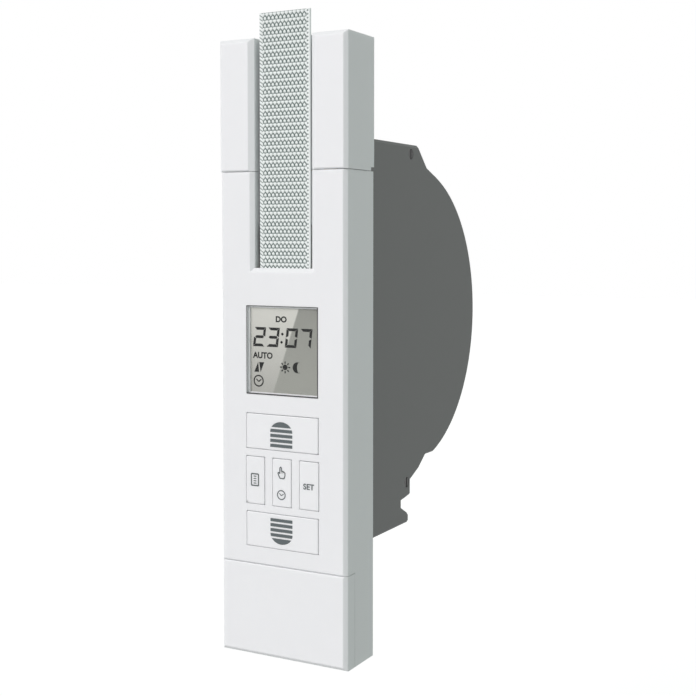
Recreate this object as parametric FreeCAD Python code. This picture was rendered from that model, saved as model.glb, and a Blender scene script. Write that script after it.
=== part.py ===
import FreeCAD
import Part

import math
import os

# Electric belt winder for a roller shutter, half sunk in the wall.
# Sizes are in millimetres. The origin is on the wall plane, midway between the two wall screws.
# X runs to the right, Y runs into the wall and Z runs up.

# Visible housing
housing_width = 57.0
housing_depth = 22.0
housing_half_height = 121.4
wall = 2.0
front_wall = 1.8
edge_chamfer = 1.5
edge_softness = 0.7
top_seam_z = 69.7
bottom_seam_z = -84.8
seam_gap = 0.2
seam_bevel = 0.5
cover_step = 0.35
finger_notch_depth = 2.6
finger_notch_height = 1.4
skirt_depth = 15.0
partition_rear_y = -12.0
running_gap = 0.3
snug_gap = 0.1

# How far forms of one piece run into each other, and how far cutters and roots run past a face
weld = 0.5
over = 1.0

# Belt and its channel
belt_width = 23.0
belt_thickness = 1.2
belt_recess = 2.4
belt_end_z = 131.0
channel_side_gap = 1.5
channel_bevel = 1.6
channel_bevel_depth = 1.3
channel_floor_y = -16.0
channel_wall = 1.5
channel_floor_end_z = 48.8
lip_z = 32.0

# Deflection roller
roller_radius = 5.7
roller_z = 28.0
roller_play = 1.0
roller_bore_gap = 0.08
roller_pin_radius = 2.0
pin_head_radius = 3.4
pin_head_length = 1.2
pin_tip = 0.9
clip_thickness = 0.8

# Display
window_left = -16.2
window_right = 16.2
window_top = 17.3
window_bottom = -17.5
window_thickness = 1.2
window_ledge = 0.8
window_corner_radius = 0.5
lcd_margin = 1.1
lcd_thickness = 2.4
lcd_frame_border = 1.6

# Control buttons
button_travel = 0.8
button_proud = 0.15
button_edge = 0.3
button_gap = 0.2
button_flare = 0.15
button_corner_radius = 0.5
button_flange = 0.9
button_flange_thickness = 0.8
button_wide_half = 16.2
button_small_width = 8.4
button_small_pitch = 12.2
up_button_top = -25.2
up_button_bottom = -38.9
row_top = -42.2
row_bottom = -60.8
down_button_top = -64.1
down_button_bottom = -77.6
post_radius = 1.25
switch_size = 6.0
switch_height = 2.7
switch_bore_radius = 1.6
switch_bore_depth = 1.4

# Control board
board_front_y = -15.2
board_thickness = 1.6
board_side_gap = 2.5
board_top = 19.0
board_bottom = -80.0
board_post_inset = 4.5
board_post_edge = 2.5
board_post_radius = 2.6

# Components on the back of the control board
chip_left = 4.0
chip_size = 10.0
chip_height = 1.4
chip_top_z = -12.0
relay_width = 9.0
relay_length = 14.0
relay_height = 9.0
relay_gap = 0.5
relay_edge = 1.0
relay_top_z = -28.0
capacitor_radius = 4.0
capacitor_height = 9.0
capacitor_z = 2.0

# Mounting frame behind the housing
frame_thickness = 2.5
frame_corner_radius = 1.0
frame_boss_root = 1.5
frame_skin = 0.6
frame_rib_height = 3.0
frame_rib_thickness = 1.6
frame_rib_gap = 2.0
wall_screw_spacing = 185.0
wall_screw_hole_radius = 2.3
wall_screw_sink_radius = 4.4
wall_screw_sink_depth = 1.6
cable_inlet_width = 16.0
cable_inlet_rise = 3.9
cable_inlet_height = 7.5
cable_inlet_radius = 2.0

# Body inside the wall
shell_top_z = 84.0
shell_bottom_z = -79.8
shelf_rear_y = 60.0
slant_rear_y = 69.0
slant_low_z = 75.4
drum_y = 56.9
drum_z = 9.6
drum_radius = 66.0
drum_top_angle = 72.0
drum_low_angle = -71.5
heel_y = 68.5
chin_y = 60.8
chin_z = -58.4
step_rear_y = 52.6
step_top_z = -61.9
step_low_z = -68.2
notch_y = 43.7
notch_top_z = -69.4
notch_low_z = -71.9
foot_rear_y = 50.7
foot_top_z = -75.6
shell_seam_chamfer = 0.35
shell_edge_chamfer = 1.2
shell_boss_radius = 3.0
shell_boss_sink = 0.8
shell_screw_grip = 8.0
roller_cheek_radius = 4.2
shaft_cheek_radius = 7.5
cheek_root = 2.0
board_rib_rear_y = 21.0
board_rib_reach = 1.5
board_rib_thickness = 1.4
bracket_rib_reach = 1.8
bracket_rib_thickness = 1.4

# Spool
spool_y = 54.5
spool_z = 6.5
spool_flange_radius = 57.0
spool_flange_thickness = 2.0
core_radius = 20.0
core_wall = 2.5
winding_radius = 38.0
winding_play = 0.3
axle_radius = 4.0
axle_skin = 1.0
hub_radius = 8.0
bush_wall = 1.0
boss_radius = 6.5
flange_hole_radius = 7.0
flange_hole_circle = 47.0
flange_screws = 6
flange_screw_circle = 24.5
flange_play = 1.0
hub_bush_length = 8.0
spool_ribs = 6
spool_rib_thickness = 1.8

# Gear train: worm, worm wheel, pinion, idler and the toothed spool flange
tooth_module = 1.0
pinion_teeth = 14
idler_teeth = 20
spool_teeth = 114
gear_wall_gap = 0.5
gear_rim = 4.5
worm_module = 0.8
worm_wheel_teeth = 24
worm_pitch_radius = 4.6
worm_front_y = -8.0
worm_rear_y = 5.0
worm_wheel_width = 5.0
worm_wheel_x = -2.0
thread_steps = 16
thread_sink = 0.4
thread_runout = 0.1
addendum = 0.85
dedendum = 1.2
tooth_play = 0.16
pressure_angle = math.radians(20)
shaft_radius = 3.0
drive_shaft_y = -2.0
drive_shaft_z = -51.3
idler_pin_radius = 2.5
idler_boss_wall = 1.5
idler_head_length = 1.2
gear_side_gap = 0.2
shaft_play = 0.05
press_gap = 0.02

# Motor
motor_radius = 12.2
motor_front_y = 9.0
motor_length = 30.8
motor_boss_radius = 3.0
motor_boss_length = 1.6
motor_shaft_radius = 1.15
motor_screw_offset = 8.0
motor_screw_grip = 3.0
motor_tab_x = 6.0
motor_tab_rise = 6.0
motor_tab_width = 2.4
motor_tab_thickness = 0.6
motor_tab_length = 3.0
motor_tail_radius = 3.5
motor_tail_length = 1.0
motor_bore_depth = 5.0
motor_shaft_seat = 4.0
motor_shaft_tip = 0.4
bracket_rise = 6.5
bracket_thickness = 2.0
cradle_gap = 7.5
cradle_place = 0.65
cradle_thickness = 2.4
cradle_rise = 1.5
magnet_radius = 4.0
magnet_length = 1.4
sensor_size = 3.4
sensor_height = 1.5

# Screws
screw_radius = 1.25
screw_head_radius = 2.5
screw_head_height = 1.5
slot_width = 0.7
slot_depth = 0.6
ear_y = -8.0
ear_thickness = 2.0
ear_half_height = 4.0
upper_ear_z = 55.0
lower_ear_z = -72.0
ear_gap = 0.5
frame_boss_radius = 2.8
panel_tab_y = -14.0
panel_tab_thickness = 2.0
panel_tab_root = 4.0
upper_tab_reach = 4.1
lower_tab_reach = 5.7
panel_screw_length = 9.0
short_head_radius = 2.2
board_screw_end_gap = 1.5
frame_screw_end_gap = 1.0

# Hooks of the bottom cover
hook_drop = 16.0
hook_length = 6.0
hook_width = 8.0
hook_thickness = 1.6

# Power supply and terminals
power_board_z = 58.4
power_board_rear_y = 25.5
power_board_front_y = 1.0
transformer_height = 20.0
transformer_length = 30.0
transformer_depth = 21.0
transformer_leg = 4.5
coil_overhang = 3.0
coil_gap = 0.25
coil_rear_gap = 1.0
terminal_width = 30.0
terminal_height = 8.5
terminal_rise = 13.4
terminal_depth = 9.0
terminal_wire_radius = 1.5
terminal_well_depth = 4.0
terminal_screw_sink = 1.2
terminal_count = 4
terminal_screw_radius = 1.8

# Worked out from the sizes above
front_y = -housing_depth
inner_front_y = front_y + front_wall
half_width = housing_width / 2
inner_half = half_width - wall
channel_half = belt_width / 2 + channel_side_gap
belt_front_y = front_y + belt_recess
belt_back_y = belt_front_y + belt_thickness
roller_wrap_radius = roller_radius + winding_play
roller_y = belt_back_y + roller_wrap_radius
frame_front_y = -frame_thickness
frame_half_width = inner_half - running_gap
frame_half_height = housing_half_height - wall - running_gap
fixing_x = frame_half_width - frame_boss_radius - snug_gap
shell_half = fixing_x - frame_boss_radius - ear_gap
cavity_half = shell_half - wall
aperture_half = shell_half + running_gap
board_rear_y = board_front_y + board_thickness
board_half_width = inner_half - board_side_gap
board_post_x = board_half_width - board_post_edge
winding_half = belt_width / 2
flange_inner_x = belt_width / 2 + flange_play
flange_outer_x = flange_inner_x + spool_flange_thickness
roller_half = belt_width / 2 + roller_play
spool_gear_radius = tooth_module * spool_teeth / 2
idler_radius = tooth_module * idler_teeth / 2
pinion_radius = tooth_module * pinion_teeth / 2
worm_wheel_radius = worm_module * worm_wheel_teeth / 2
worm_lead = math.pi * worm_module
worm_z = drive_shaft_z - worm_wheel_radius - worm_pitch_radius
gear_outer_x = gear_wall_gap - cavity_half
gear_inner_x = -flange_inner_x
upper_tab_z = top_seam_z + upper_tab_reach
lower_tab_z = bottom_seam_z - lower_tab_reach
terminal_bottom = terminal_rise - housing_half_height
terminal_top = terminal_bottom + terminal_height
cable_inlet_bottom = cable_inlet_rise - housing_half_height
cable_inlet_top = cable_inlet_bottom + cable_inlet_height


def vec(x, y, z):
    return FreeCAD.Vector(x, y, z)


def block(x0, x1, y0, y1, z0, z1):
    return Part.makeBox(x1 - x0, y1 - y0, z1 - z0, vec(x0, y0, z0))


def rod(radius, start, end):
    line = end - start
    return Part.makeCylinder(radius, line.Length, start, line)


def rounded_corner(before, corner, after, radius):
    """Start, middle and end of the arc that softens one corner of an outline."""
    back = (before - corner).normalize()
    ahead = (after - corner).normalize()
    half_turn = back.getAngle(ahead) / 2
    reach = radius / math.tan(half_turn)
    to_centre = (back + ahead).normalize()
    middle = corner + to_centre * (radius / math.sin(half_turn) - radius)
    return corner + back * reach, middle, corner + ahead * reach


def closed_wire(points, radii=None):
    """A closed outline whose corners with a radius are arcs."""
    count = len(points)
    corners = []
    for index, corner in enumerate(points):
        radius = radii[index] if radii else 0
        if radius:
            following = points[(index + 1) % count]
            corners.append(rounded_corner(points[index - 1], corner, following, radius))
        else:
            corners.append((corner, None, corner))
    edges = []
    for index, (start, middle, end) in enumerate(corners):
        if middle is not None:
            edges.append(Part.Arc(start, middle, end).toShape())
        next_start = corners[(index + 1) % count][0]
        if (next_start - end).Length > 1e-6:
            edges.append(Part.LineSegment(end, next_start).toShape())
    return Part.Wire(edges)


def prism_x(points, x0, x1, radii=None):
    """A YZ outline carried from x0 to x1."""
    wire = closed_wire([vec(x0, y, z) for y, z in points], radii)
    return Part.Face(wire).extrude(vec(x1 - x0, 0, 0))


def prism_y(points, y0, y1, radii=None):
    """An XZ outline carried from y0 to y1."""
    wire = closed_wire([vec(x, y0, z) for x, z in points], radii)
    return Part.Face(wire).extrude(vec(0, y1 - y0, 0))


def prism_z(points, z0, z1, radii=None):
    """An XY outline carried from z0 to z1."""
    wire = closed_wire([vec(x, y, z0) for x, y in points], radii)
    return Part.Face(wire).extrude(vec(0, 0, z1 - z0))


def rectangle(x0, x1, z0, z1):
    return [(x0, z0), (x1, z0), (x1, z1), (x0, z1)]


def soft_block(x0, x1, y0, y1, z0, z1, radius):
    """A block whose four corners are round when seen from the front."""
    return prism_y(rectangle(x0, x1, z0, z1), y0, y1, [radius] * 4)


def flared_opening(x0, x1, z0, z1, depth_y, flare, flare_y):
    """A cutter through the front wall whose mouth widens towards the front face."""
    hole = block(x0, x1, front_y - over, depth_y, z0, z1)
    mouth = []
    for grow, y in ((0, front_y + flare_y), (flare * (1 + weld / flare_y), front_y - weld)):
        corners = rectangle(x0 - grow, x1 + grow, z0 - grow, z1 + grow)
        mouth.append(closed_wire([vec(x, y, z) for x, z in corners]))
    return hole.fuse(Part.makeLoft(mouth, True, True))


def screw(position, direction, length, head_radius=screw_head_radius, shank_radius=screw_radius):
    """A slotted screw. Its head stands on position and its shank runs along direction."""
    direction = vec(*direction)
    head_top = position - direction * screw_head_height
    head = Part.makeCylinder(head_radius, screw_head_height, head_top, direction)
    shank = Part.makeCylinder(shank_radius, length, position, direction)
    slot = Part.makeBox(2.2 * head_radius, slot_width, 2 * slot_depth)
    slot.translate(vec(-1.1 * head_radius, -slot_width / 2, -slot_depth))
    turned = FreeCAD.Placement(head_top, FreeCAD.Rotation(vec(0, 0, 1), direction))
    slot.Placement = turned.multiply(slot.Placement)
    return head.fuse(shank).cut(slot)


def group(solids):
    return Part.makeCompound(solids)


def housing_section(extra=0.0):
    """The XY outline of the visible housing, with its chamfered front edges."""
    side = half_width + extra
    front = front_y - extra
    points = [
        (-side, 0),
        (-side, front + edge_chamfer),
        (-side + edge_chamfer, front),
        (side - edge_chamfer, front),
        (side, front + edge_chamfer),
        (side, 0),
    ]
    return points, [0, edge_softness, edge_softness, edge_softness, edge_softness, 0]


def channel_trough(z0, z1, floor_z0):
    """The three walls of the belt channel behind the front wall."""
    outer = channel_half + channel_wall
    back = channel_floor_y + channel_wall
    trough = block(-outer, outer, inner_front_y - weld, back, z0, z1)
    low = z0 - over
    trough = trough.cut(block(-channel_half, channel_half, front_y - over, channel_floor_y, low, z1 + over))
    open_back = block(-channel_half, channel_half, front_y, back + over, low, floor_z0)
    return trough.cut(open_back)


def channel_mouth(z0, z1):
    """The cutter that opens the front face over the belt, bevelled along its edges."""
    return flared_opening(
        -channel_half, channel_half, z0, z1, channel_floor_y, channel_bevel, channel_bevel_depth
    )


def button_boxes():
    """Each button's name and its rectangle on the front face."""
    boxes = {
        "up_button": (-button_wide_half, button_wide_half, up_button_bottom, up_button_top),
        "down_button": (-button_wide_half, button_wide_half, down_button_bottom, down_button_top),
    }
    for index, name in enumerate(("menu_button", "mode_button", "set_button")):
        middle = (index - 1) * button_small_pitch
        half = button_small_width / 2
        boxes[name] = (middle - half, middle + half, row_bottom, row_top)
    return boxes


def board_posts():
    """Places where the control board is screwed to the front panel."""
    heights = (board_top - board_post_inset, board_bottom + board_post_inset)
    return [(side * board_post_x, z) for side in (-1, 1) for z in heights]


def panel_tabs():
    """Places where the front panel is screwed to the mounting frame."""
    return [(side * fixing_x, z) for side in (-1, 1) for z in (upper_tab_z, lower_tab_z)]


def shell_ears():
    """Places where the body in the wall is screwed to the mounting frame."""
    return [(side * fixing_x, z) for side in (-1, 1) for z in (upper_ear_z, lower_ear_z)]


def front_panel():
    section, radii = housing_section()
    top = top_seam_z - seam_gap / 2
    bottom = bottom_seam_z + seam_gap / 2
    upper = prism_z(section, bottom, top, radii)
    side_view = [
        (0, bottom),
        (0, top),
        (front_y + seam_bevel, top),
        (front_y, top - seam_bevel),
        (front_y, bottom + seam_bevel),
        (front_y + seam_bevel, bottom),
    ]
    upper = upper.common(prism_x(side_view, -half_width - over, half_width + over))
    skirt_top = bottom + wall
    lower = block(-half_width, half_width, -skirt_depth, 0, -housing_half_height, skirt_top)
    body = upper.fuse(lower)
    cavity_bottom = -housing_half_height + wall
    partition_top = bottom + wall
    body = body.cut(block(-inner_half, inner_half, inner_front_y, over, partition_top, top + over))
    body = body.cut(block(-inner_half, inner_half, -skirt_depth - over, over, cavity_bottom, bottom))
    gap_top = partition_top + over
    partition_gap = block(-inner_half, inner_half, partition_rear_y, over, bottom - over, gap_top)
    body = body.cut(partition_gap)
    body = body.fuse(channel_trough(lip_z, top, channel_floor_end_z))
    for x, z in board_posts():
        body = body.fuse(rod(board_post_radius, vec(x, inner_front_y - weld, z), vec(x, board_front_y, z)))
    for x, z in panel_tabs():
        body = body.fuse(panel_tab(x, z))
    body = body.cut(channel_mouth(lip_z, top + 5))
    body = body.cut(window_recess())
    for x0, x1, z0, z1 in button_boxes().values():
        gap = button_gap
        sides = (x0 - gap, x1 + gap, z0 - gap, z1 + gap)
        body = body.cut(flared_opening(*sides, inner_front_y + over, button_flare, button_flare))
    for x, z in board_posts():
        hole_line = (vec(x, inner_front_y, z), vec(x, board_front_y + over, z))
        body = body.cut(rod(screw_radius + snug_gap, *hole_line))
    for x, z in panel_tabs():
        body = body.cut(rod(screw_radius + snug_gap, vec(x, panel_tab_y - over, z), vec(x, 0, z)))
    return body.removeSplitter()


def panel_tab(x, z):
    """A screw tab that grows from the inside of a side wall and reaches past a seam."""
    side = 1 if x > 0 else -1
    toward = 1 if z > 0 else -1
    seam = top_seam_z if z > 0 else bottom_seam_z
    y0 = panel_tab_y
    y1 = panel_tab_y + panel_tab_thickness
    tip = z + toward * frame_boss_radius
    inner = side * (fixing_x - frame_boss_radius)
    free_x = sorted((inner, side * frame_half_width))
    fixed_x = sorted((inner, side * (inner_half + weld)))
    root = seam - toward * panel_tab_root
    tongue = block(*free_x, y0, y1, *sorted((root, tip)))
    return tongue.fuse(block(*fixed_x, y0, y1, *sorted((root, seam - toward * wall))))


def window_recess():
    """The stepped hole that the display window is set into."""
    gap = snug_gap
    seat_y = front_y + window_thickness
    seat = soft_block(
        window_left - gap,
        window_right + gap,
        front_y - over,
        seat_y,
        window_bottom - gap,
        window_top + gap,
        window_corner_radius,
    )
    sight = block(
        window_left + window_ledge,
        window_right - window_ledge,
        front_y,
        inner_front_y + over,
        window_bottom + window_ledge,
        window_top - window_ledge,
    )
    return seat.fuse(sight)


def top_cover():
    section, radii = housing_section(cover_step)
    bottom = top_seam_z + seam_gap / 2
    front = front_y - cover_step
    body = prism_z(section, bottom, housing_half_height, radii)
    side_view = [
        (0, bottom),
        (0, housing_half_height),
        (front + edge_chamfer, housing_half_height),
        (front, housing_half_height - edge_chamfer),
        (front, bottom + seam_bevel),
        (front + seam_bevel, bottom),
    ]
    soft = [0, 0, edge_softness, edge_softness, 0, 0]
    body = body.common(prism_x(side_view, -half_width - over, half_width + over, soft))
    ceiling = housing_half_height - wall
    body = body.cut(block(-inner_half, inner_half, inner_front_y, over, bottom - over, ceiling))
    body = body.fuse(channel_trough(bottom, ceiling + weld, bottom))
    body = body.cut(channel_mouth(bottom - 5, housing_half_height + 5))
    grip_front = -finger_notch_depth
    grip_top = bottom + finger_notch_height
    finger_notch = block(-half_width - over, half_width + over, grip_front, over, bottom - over, grip_top)
    return body.cut(finger_notch).removeSplitter()


def bottom_cover():
    section, radii = housing_section()
    top = bottom_seam_z - seam_gap / 2
    back = -skirt_depth - seam_gap
    body = prism_z(section, -housing_half_height, top, radii)
    side_view = [
        (back, -housing_half_height),
        (back, top),
        (front_y + seam_bevel, top),
        (front_y, top - seam_bevel),
        (front_y, -housing_half_height + edge_chamfer),
        (front_y + edge_chamfer, -housing_half_height),
    ]
    soft = [0, 0, 0, 0, edge_softness, edge_softness]
    body = body.common(prism_x(side_view, -half_width - over, half_width + over, soft))
    body = body.cut(
        block(-inner_half, inner_half, inner_front_y, over, -housing_half_height + wall, top - wall)
    )
    for side in (-1, 1):
        outer = side * (inner_half - running_gap)
        inner = outer - side * hook_thickness
        x0, x1 = min(outer, inner), max(outer, inner)
        low = lower_tab_z - hook_drop
        hook = block(x0, x1, inner_front_y - weld, -skirt_depth + hook_length, low - hook_width, low)
        body = body.fuse(hook)
    return body.removeSplitter()


def display_window():
    return soft_block(
        window_left,
        window_right,
        front_y,
        front_y + window_thickness,
        window_bottom,
        window_top,
        window_corner_radius,
    )


def lcd_box(margin):
    return (
        window_left - margin,
        window_right + margin,
        window_bottom - margin,
        window_top + margin,
    )


def lcd_module():
    x0, x1, z0, z1 = lcd_box(lcd_margin)
    y0 = inner_front_y + snug_gap
    return block(x0, x1, y0, y0 + lcd_thickness, z0, z1)


def lcd_frame():
    """The carrier that holds the display on the control board."""
    x0, x1, z0, z1 = lcd_box(lcd_margin)
    y0 = inner_front_y + snug_gap + lcd_thickness
    outer = block(x0, x1, y0, board_front_y, z0, z1)
    border = lcd_frame_border
    y1 = board_front_y + over
    return outer.cut(block(x0 + border, x1 - border, y0 - over, y1, z0 + border, z1 - border))


def button(x0, x1, z0, z1):
    face_y = front_y - button_proud
    flange_y = inner_front_y + running_gap
    cap = soft_block(x0, x1, face_y, flange_y + weld, z0, z1, button_corner_radius)
    rim = [edge for edge in cap.Edges if edge.CenterOfMass.y < face_y + 1e-4]
    cap = cap.makeFillet(button_edge, rim)
    grow = button_flange
    flange = block(x0 - grow, x1 + grow, flange_y, flange_y + button_flange_thickness, z0 - grow, z1 + grow)
    middle_x = (x0 + x1) / 2
    middle_z = (z0 + z1) / 2
    bore_bottom = board_front_y - switch_height + switch_bore_depth
    post_end = bore_bottom - button_travel - snug_gap
    post = rod(post_radius, vec(middle_x, flange_y, middle_z), vec(middle_x, post_end, middle_z))
    return cap.fuse([flange, post]).removeSplitter()


def key_switches():
    switches = []
    for x0, x1, z0, z1 in button_boxes().values():
        x = (x0 + x1) / 2
        z = (z0 + z1) / 2
        half = switch_size / 2
        top_y = board_front_y - switch_height
        body = block(x - half, x + half, top_y, board_front_y, z - half, z + half)
        bore = rod(switch_bore_radius, vec(x, top_y - over, z), vec(x, top_y + switch_bore_depth, z))
        switches.append(body.cut(bore))
    return group(switches)


def control_board():
    board = block(
        -board_half_width, board_half_width, board_front_y, board_rear_y, board_bottom, board_top
    )
    for x, z in board_posts():
        hole_line = (vec(x, board_front_y - over, z), vec(x, board_rear_y + over, z))
        board = board.cut(rod(screw_radius + snug_gap, *hole_line))
    return board


def board_components():
    """The controller chip, two relays and a capacitor on the back of the control board."""
    y = board_rear_y
    chip = block(chip_left, chip_left + chip_size, y, y + chip_height, chip_top_z - chip_size, chip_top_z)
    relays = []
    for index in range(2):
        x = board_half_width - relay_edge - relay_width - index * (relay_width + relay_gap)
        relays.append(block(x, x + relay_width, y, y + relay_height, relay_top_z - relay_length, relay_top_z))
    x = -board_half_width + capacitor_radius
    capacitor = rod(capacitor_radius, vec(x, y, capacitor_z), vec(x, y + capacitor_height, capacitor_z))
    return group([chip, capacitor] + relays)


def board_screws():
    length = board_rear_y - inner_front_y - board_screw_end_gap
    screws = []
    for x, z in board_posts():
        screws.append(screw(vec(x, board_rear_y, z), (0, -1, 0), length, short_head_radius))
    return group(screws)


def mounting_frame():
    plate = soft_block(
        -frame_half_width,
        frame_half_width,
        frame_front_y,
        0,
        -frame_half_height,
        frame_half_height,
        frame_corner_radius,
    )
    top = shell_top_z + running_gap
    bottom = shell_bottom_z - running_gap
    aperture = block(-aperture_half, aperture_half, frame_front_y - over, over, bottom, top)
    body = plate.cut(aperture)
    for z0 in (top + frame_rib_gap, bottom - frame_rib_gap / 2 - frame_rib_thickness):
        rib_front = frame_front_y - frame_rib_height
        z1 = z0 + frame_rib_thickness
        body = body.fuse(block(-frame_half_width, frame_half_width, rib_front, frame_front_y, z0, z1))
    boss_root_y = frame_front_y + frame_boss_root
    for x, z in shell_ears():
        body = body.fuse(rod(frame_boss_radius, vec(x, ear_y + ear_thickness, z), vec(x, boss_root_y, z)))
    for x, z in panel_tabs():
        top_y = panel_tab_y + panel_tab_thickness
        body = body.fuse(rod(frame_boss_radius, vec(x, top_y, z), vec(x, boss_root_y, z)))
    for x, z in shell_ears() + panel_tabs():
        body = body.cut(rod(screw_radius + snug_gap, vec(x, panel_tab_y, z), vec(x, -frame_skin, z)))
    for z in (-wall_screw_spacing / 2, wall_screw_spacing / 2):
        body = body.cut(rod(wall_screw_hole_radius, vec(0, frame_front_y - over, z), vec(0, over, z)))
        radii = (wall_screw_sink_radius, wall_screw_hole_radius)
        sink = Part.makeCone(*radii, wall_screw_sink_depth, vec(0, frame_front_y, z), vec(0, 1, 0))
        body = body.cut(sink)
    half = cable_inlet_width / 2
    inlet = soft_block(
        -half, half, frame_front_y - over, over, cable_inlet_bottom, cable_inlet_top, cable_inlet_radius
    )
    return body.cut(inlet).removeSplitter()


def drum_point(angle):
    turn = math.radians(angle)
    return vec(0, drum_y + drum_radius * math.cos(turn), drum_z + drum_radius * math.sin(turn))


def shell_face():
    """The side view of the body in the wall: a drum with a shelf above and a motor box below."""
    arc_end = drum_point(drum_top_angle)
    arc_start = drum_point(drum_low_angle)
    before_arc = [
        (frame_front_y, shell_bottom_z),
        (foot_rear_y, shell_bottom_z),
        (foot_rear_y, foot_top_z),
        (notch_y, notch_low_z),
        (notch_y, notch_top_z),
        (step_rear_y, step_low_z),
        (step_rear_y, step_top_z),
        (chin_y, chin_z),
        (heel_y, arc_start.z),
    ]
    after_arc = [
        (slant_rear_y, slant_low_z),
        (shelf_rear_y, shell_top_z),
        (frame_front_y, shell_top_z),
    ]
    lower = [vec(0, y, z) for y, z in before_arc] + [arc_start]
    upper = [arc_end] + [vec(0, y, z) for y, z in after_arc] + [lower[0]]
    edges = [Part.LineSegment(a, b).toShape() for a, b in zip(lower, lower[1:])]
    edges.append(Part.Arc(arc_start, drum_point(0), arc_end).toShape())
    edges += [Part.LineSegment(a, b).toShape() for a, b in zip(upper, upper[1:])]
    return Part.Face(Part.Wire(edges))


def shell_bosses():
    """Places where the two halves of the body are screwed together."""
    inset = wall + shell_boss_radius - shell_boss_sink
    top = (shelf_rear_y - wall - 2 * shell_boss_radius, shell_top_z - inset)
    low = (step_rear_y - inset, step_top_z)
    return [top, low]


def snout(y, z, radius):
    """A cheek of the shell's side wall that reaches forward to carry a shaft end."""
    plate = block(cavity_half, shell_half, y, frame_front_y + cheek_root, z - radius, z + radius)
    return plate.fuse(rod(radius, vec(cavity_half, y, z), vec(shell_half, y, z)))


def outline_edges(body, x):
    """The edges of the shell's outline at one x, but for the upright one at its mouth."""
    edges = []
    for edge in body.Edges:
        flat = all(abs(vertex.X - x) < 1e-4 for vertex in edge.Vertexes)
        if flat and edge.CenterOfMass.y > frame_front_y + weld:
            edges.append(edge)
    return edges


def plain_shell():
    """The right half of the body in the wall, before either side's own holes are made."""
    face = shell_face()
    body = face.extrude(vec(shell_half, 0, 0))
    body = body.makeChamfer(shell_seam_chamfer, outline_edges(body, 0))
    body = body.makeChamfer(shell_edge_chamfer, outline_edges(body, shell_half))
    inner = face.makeOffset2D(-wall).extrude(vec(cavity_half + over, 0, 0))
    inner.translate(vec(-over, 0, 0))
    mouth = block(-over, cavity_half, frame_front_y - over, over, shell_bottom_z + wall, shell_top_z - wall)
    body = body.cut(inner.fuse(mouth))
    roller_cheek = snout(roller_y, roller_z, roller_cheek_radius)
    body = body.fuse([roller_cheek, snout(drive_shaft_y, drive_shaft_z, shaft_cheek_radius)])
    for x, z in shell_ears()[2:]:
        heights = (z - ear_half_height, z + ear_half_height)
        ear = block(cavity_half, fixing_x + frame_boss_radius, ear_y, ear_y + ear_thickness, *heights)
        arm = block(cavity_half, shell_half, ear_y, frame_front_y + over, *heights)
        body = body.fuse([ear, arm])
    boss_start = vec(flange_outer_x + running_gap, spool_y, spool_z)
    body = body.fuse(rod(boss_radius, boss_start, vec(cavity_half + over, spool_y, spool_z)))
    for y, z in shell_bosses():
        body = body.fuse(rod(shell_boss_radius, vec(0, y, z), vec(cavity_half + over, y, z)))
    body = body.fuse(bracket_ribs())
    body = body.fuse(board_ribs())
    for x, z in shell_ears()[2:]:
        body = body.cut(rod(screw_radius + snug_gap, vec(x, ear_y - over, z), vec(x, 0, z)))
    axle_end = shell_half - axle_skin
    body = body.cut(rod(axle_radius + shaft_play, vec(0, spool_y, spool_z), vec(axle_end, spool_y, spool_z)))
    pin_line = (vec(0, roller_y, roller_z), vec(shell_half + over, roller_y, roller_z))
    body = body.cut(rod(roller_pin_radius + shaft_play, *pin_line))
    bush_line = (vec(0, drive_shaft_y, drive_shaft_z), vec(shell_half + over, drive_shaft_y, drive_shaft_z))
    return body.cut(rod(shaft_radius + shaft_play + bush_wall, *bush_line))


def bracket_ribs():
    """Two upright ribs that hold one edge of the motor bracket."""
    top = worm_z + bracket_rise
    bottom = shell_bottom_z + wall / 2
    rib_x = cavity_half - bracket_rib_reach
    rib = bracket_rib_thickness
    slot_front = motor_front_y - bracket_thickness - snug_gap
    slot_rear = motor_front_y + snug_gap
    front_rib = block(rib_x, cavity_half + over, slot_front - rib, slot_front, bottom, top)
    rear_rib = block(rib_x, cavity_half + over, slot_rear, slot_rear + rib, bottom, top)
    return front_rib.fuse(rear_rib)


def board_ribs():
    """Ledges under and over one edge of the power board."""
    rib_x = cavity_half - board_rib_reach
    rib = board_rib_thickness
    rear = board_rib_rear_y
    low = power_board_z - snug_gap
    high = power_board_z + board_thickness + snug_gap
    lower = block(rib_x, cavity_half + over, power_board_front_y, rear, low - rib, low)
    upper = block(rib_x, cavity_half + over, power_board_front_y, rear, high, high + rib)
    return lower.fuse(upper)


def motor_cradle(x0, x1):
    """A saddle under and over the rear of the motor, open where the motor lies."""
    y0 = motor_front_y + cradle_place * motor_length
    y1 = y0 + cradle_thickness
    saddle = block(x0, x1, y0, y1, shell_bottom_z + wall / 2, worm_z + motor_radius + cradle_rise)
    hollow_line = (vec(worm_wheel_x, y0 - over, worm_z), vec(worm_wheel_x, y1 + over, worm_z))
    return saddle.cut(rod(motor_radius + running_gap, *hollow_line))


def right_shell():
    body = plain_shell().fuse(motor_cradle(cradle_gap + worm_wheel_x, cavity_half + 1))
    for y, z in shell_bosses():
        body = body.cut(rod(screw_radius + snug_gap, vec(-over, y, z), vec(shell_half, y, z)))
        sink_line = (vec(shell_screw_seat(), y, z), vec(shell_half + over, y, z))
        body = body.cut(rod(short_head_radius + snug_gap, *sink_line))
    return body.removeSplitter()


def shell_screw_seat():
    """Where the head of a screw that joins the halves rests, sunk below the side."""
    return shell_half - screw_head_height - snug_gap


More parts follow.
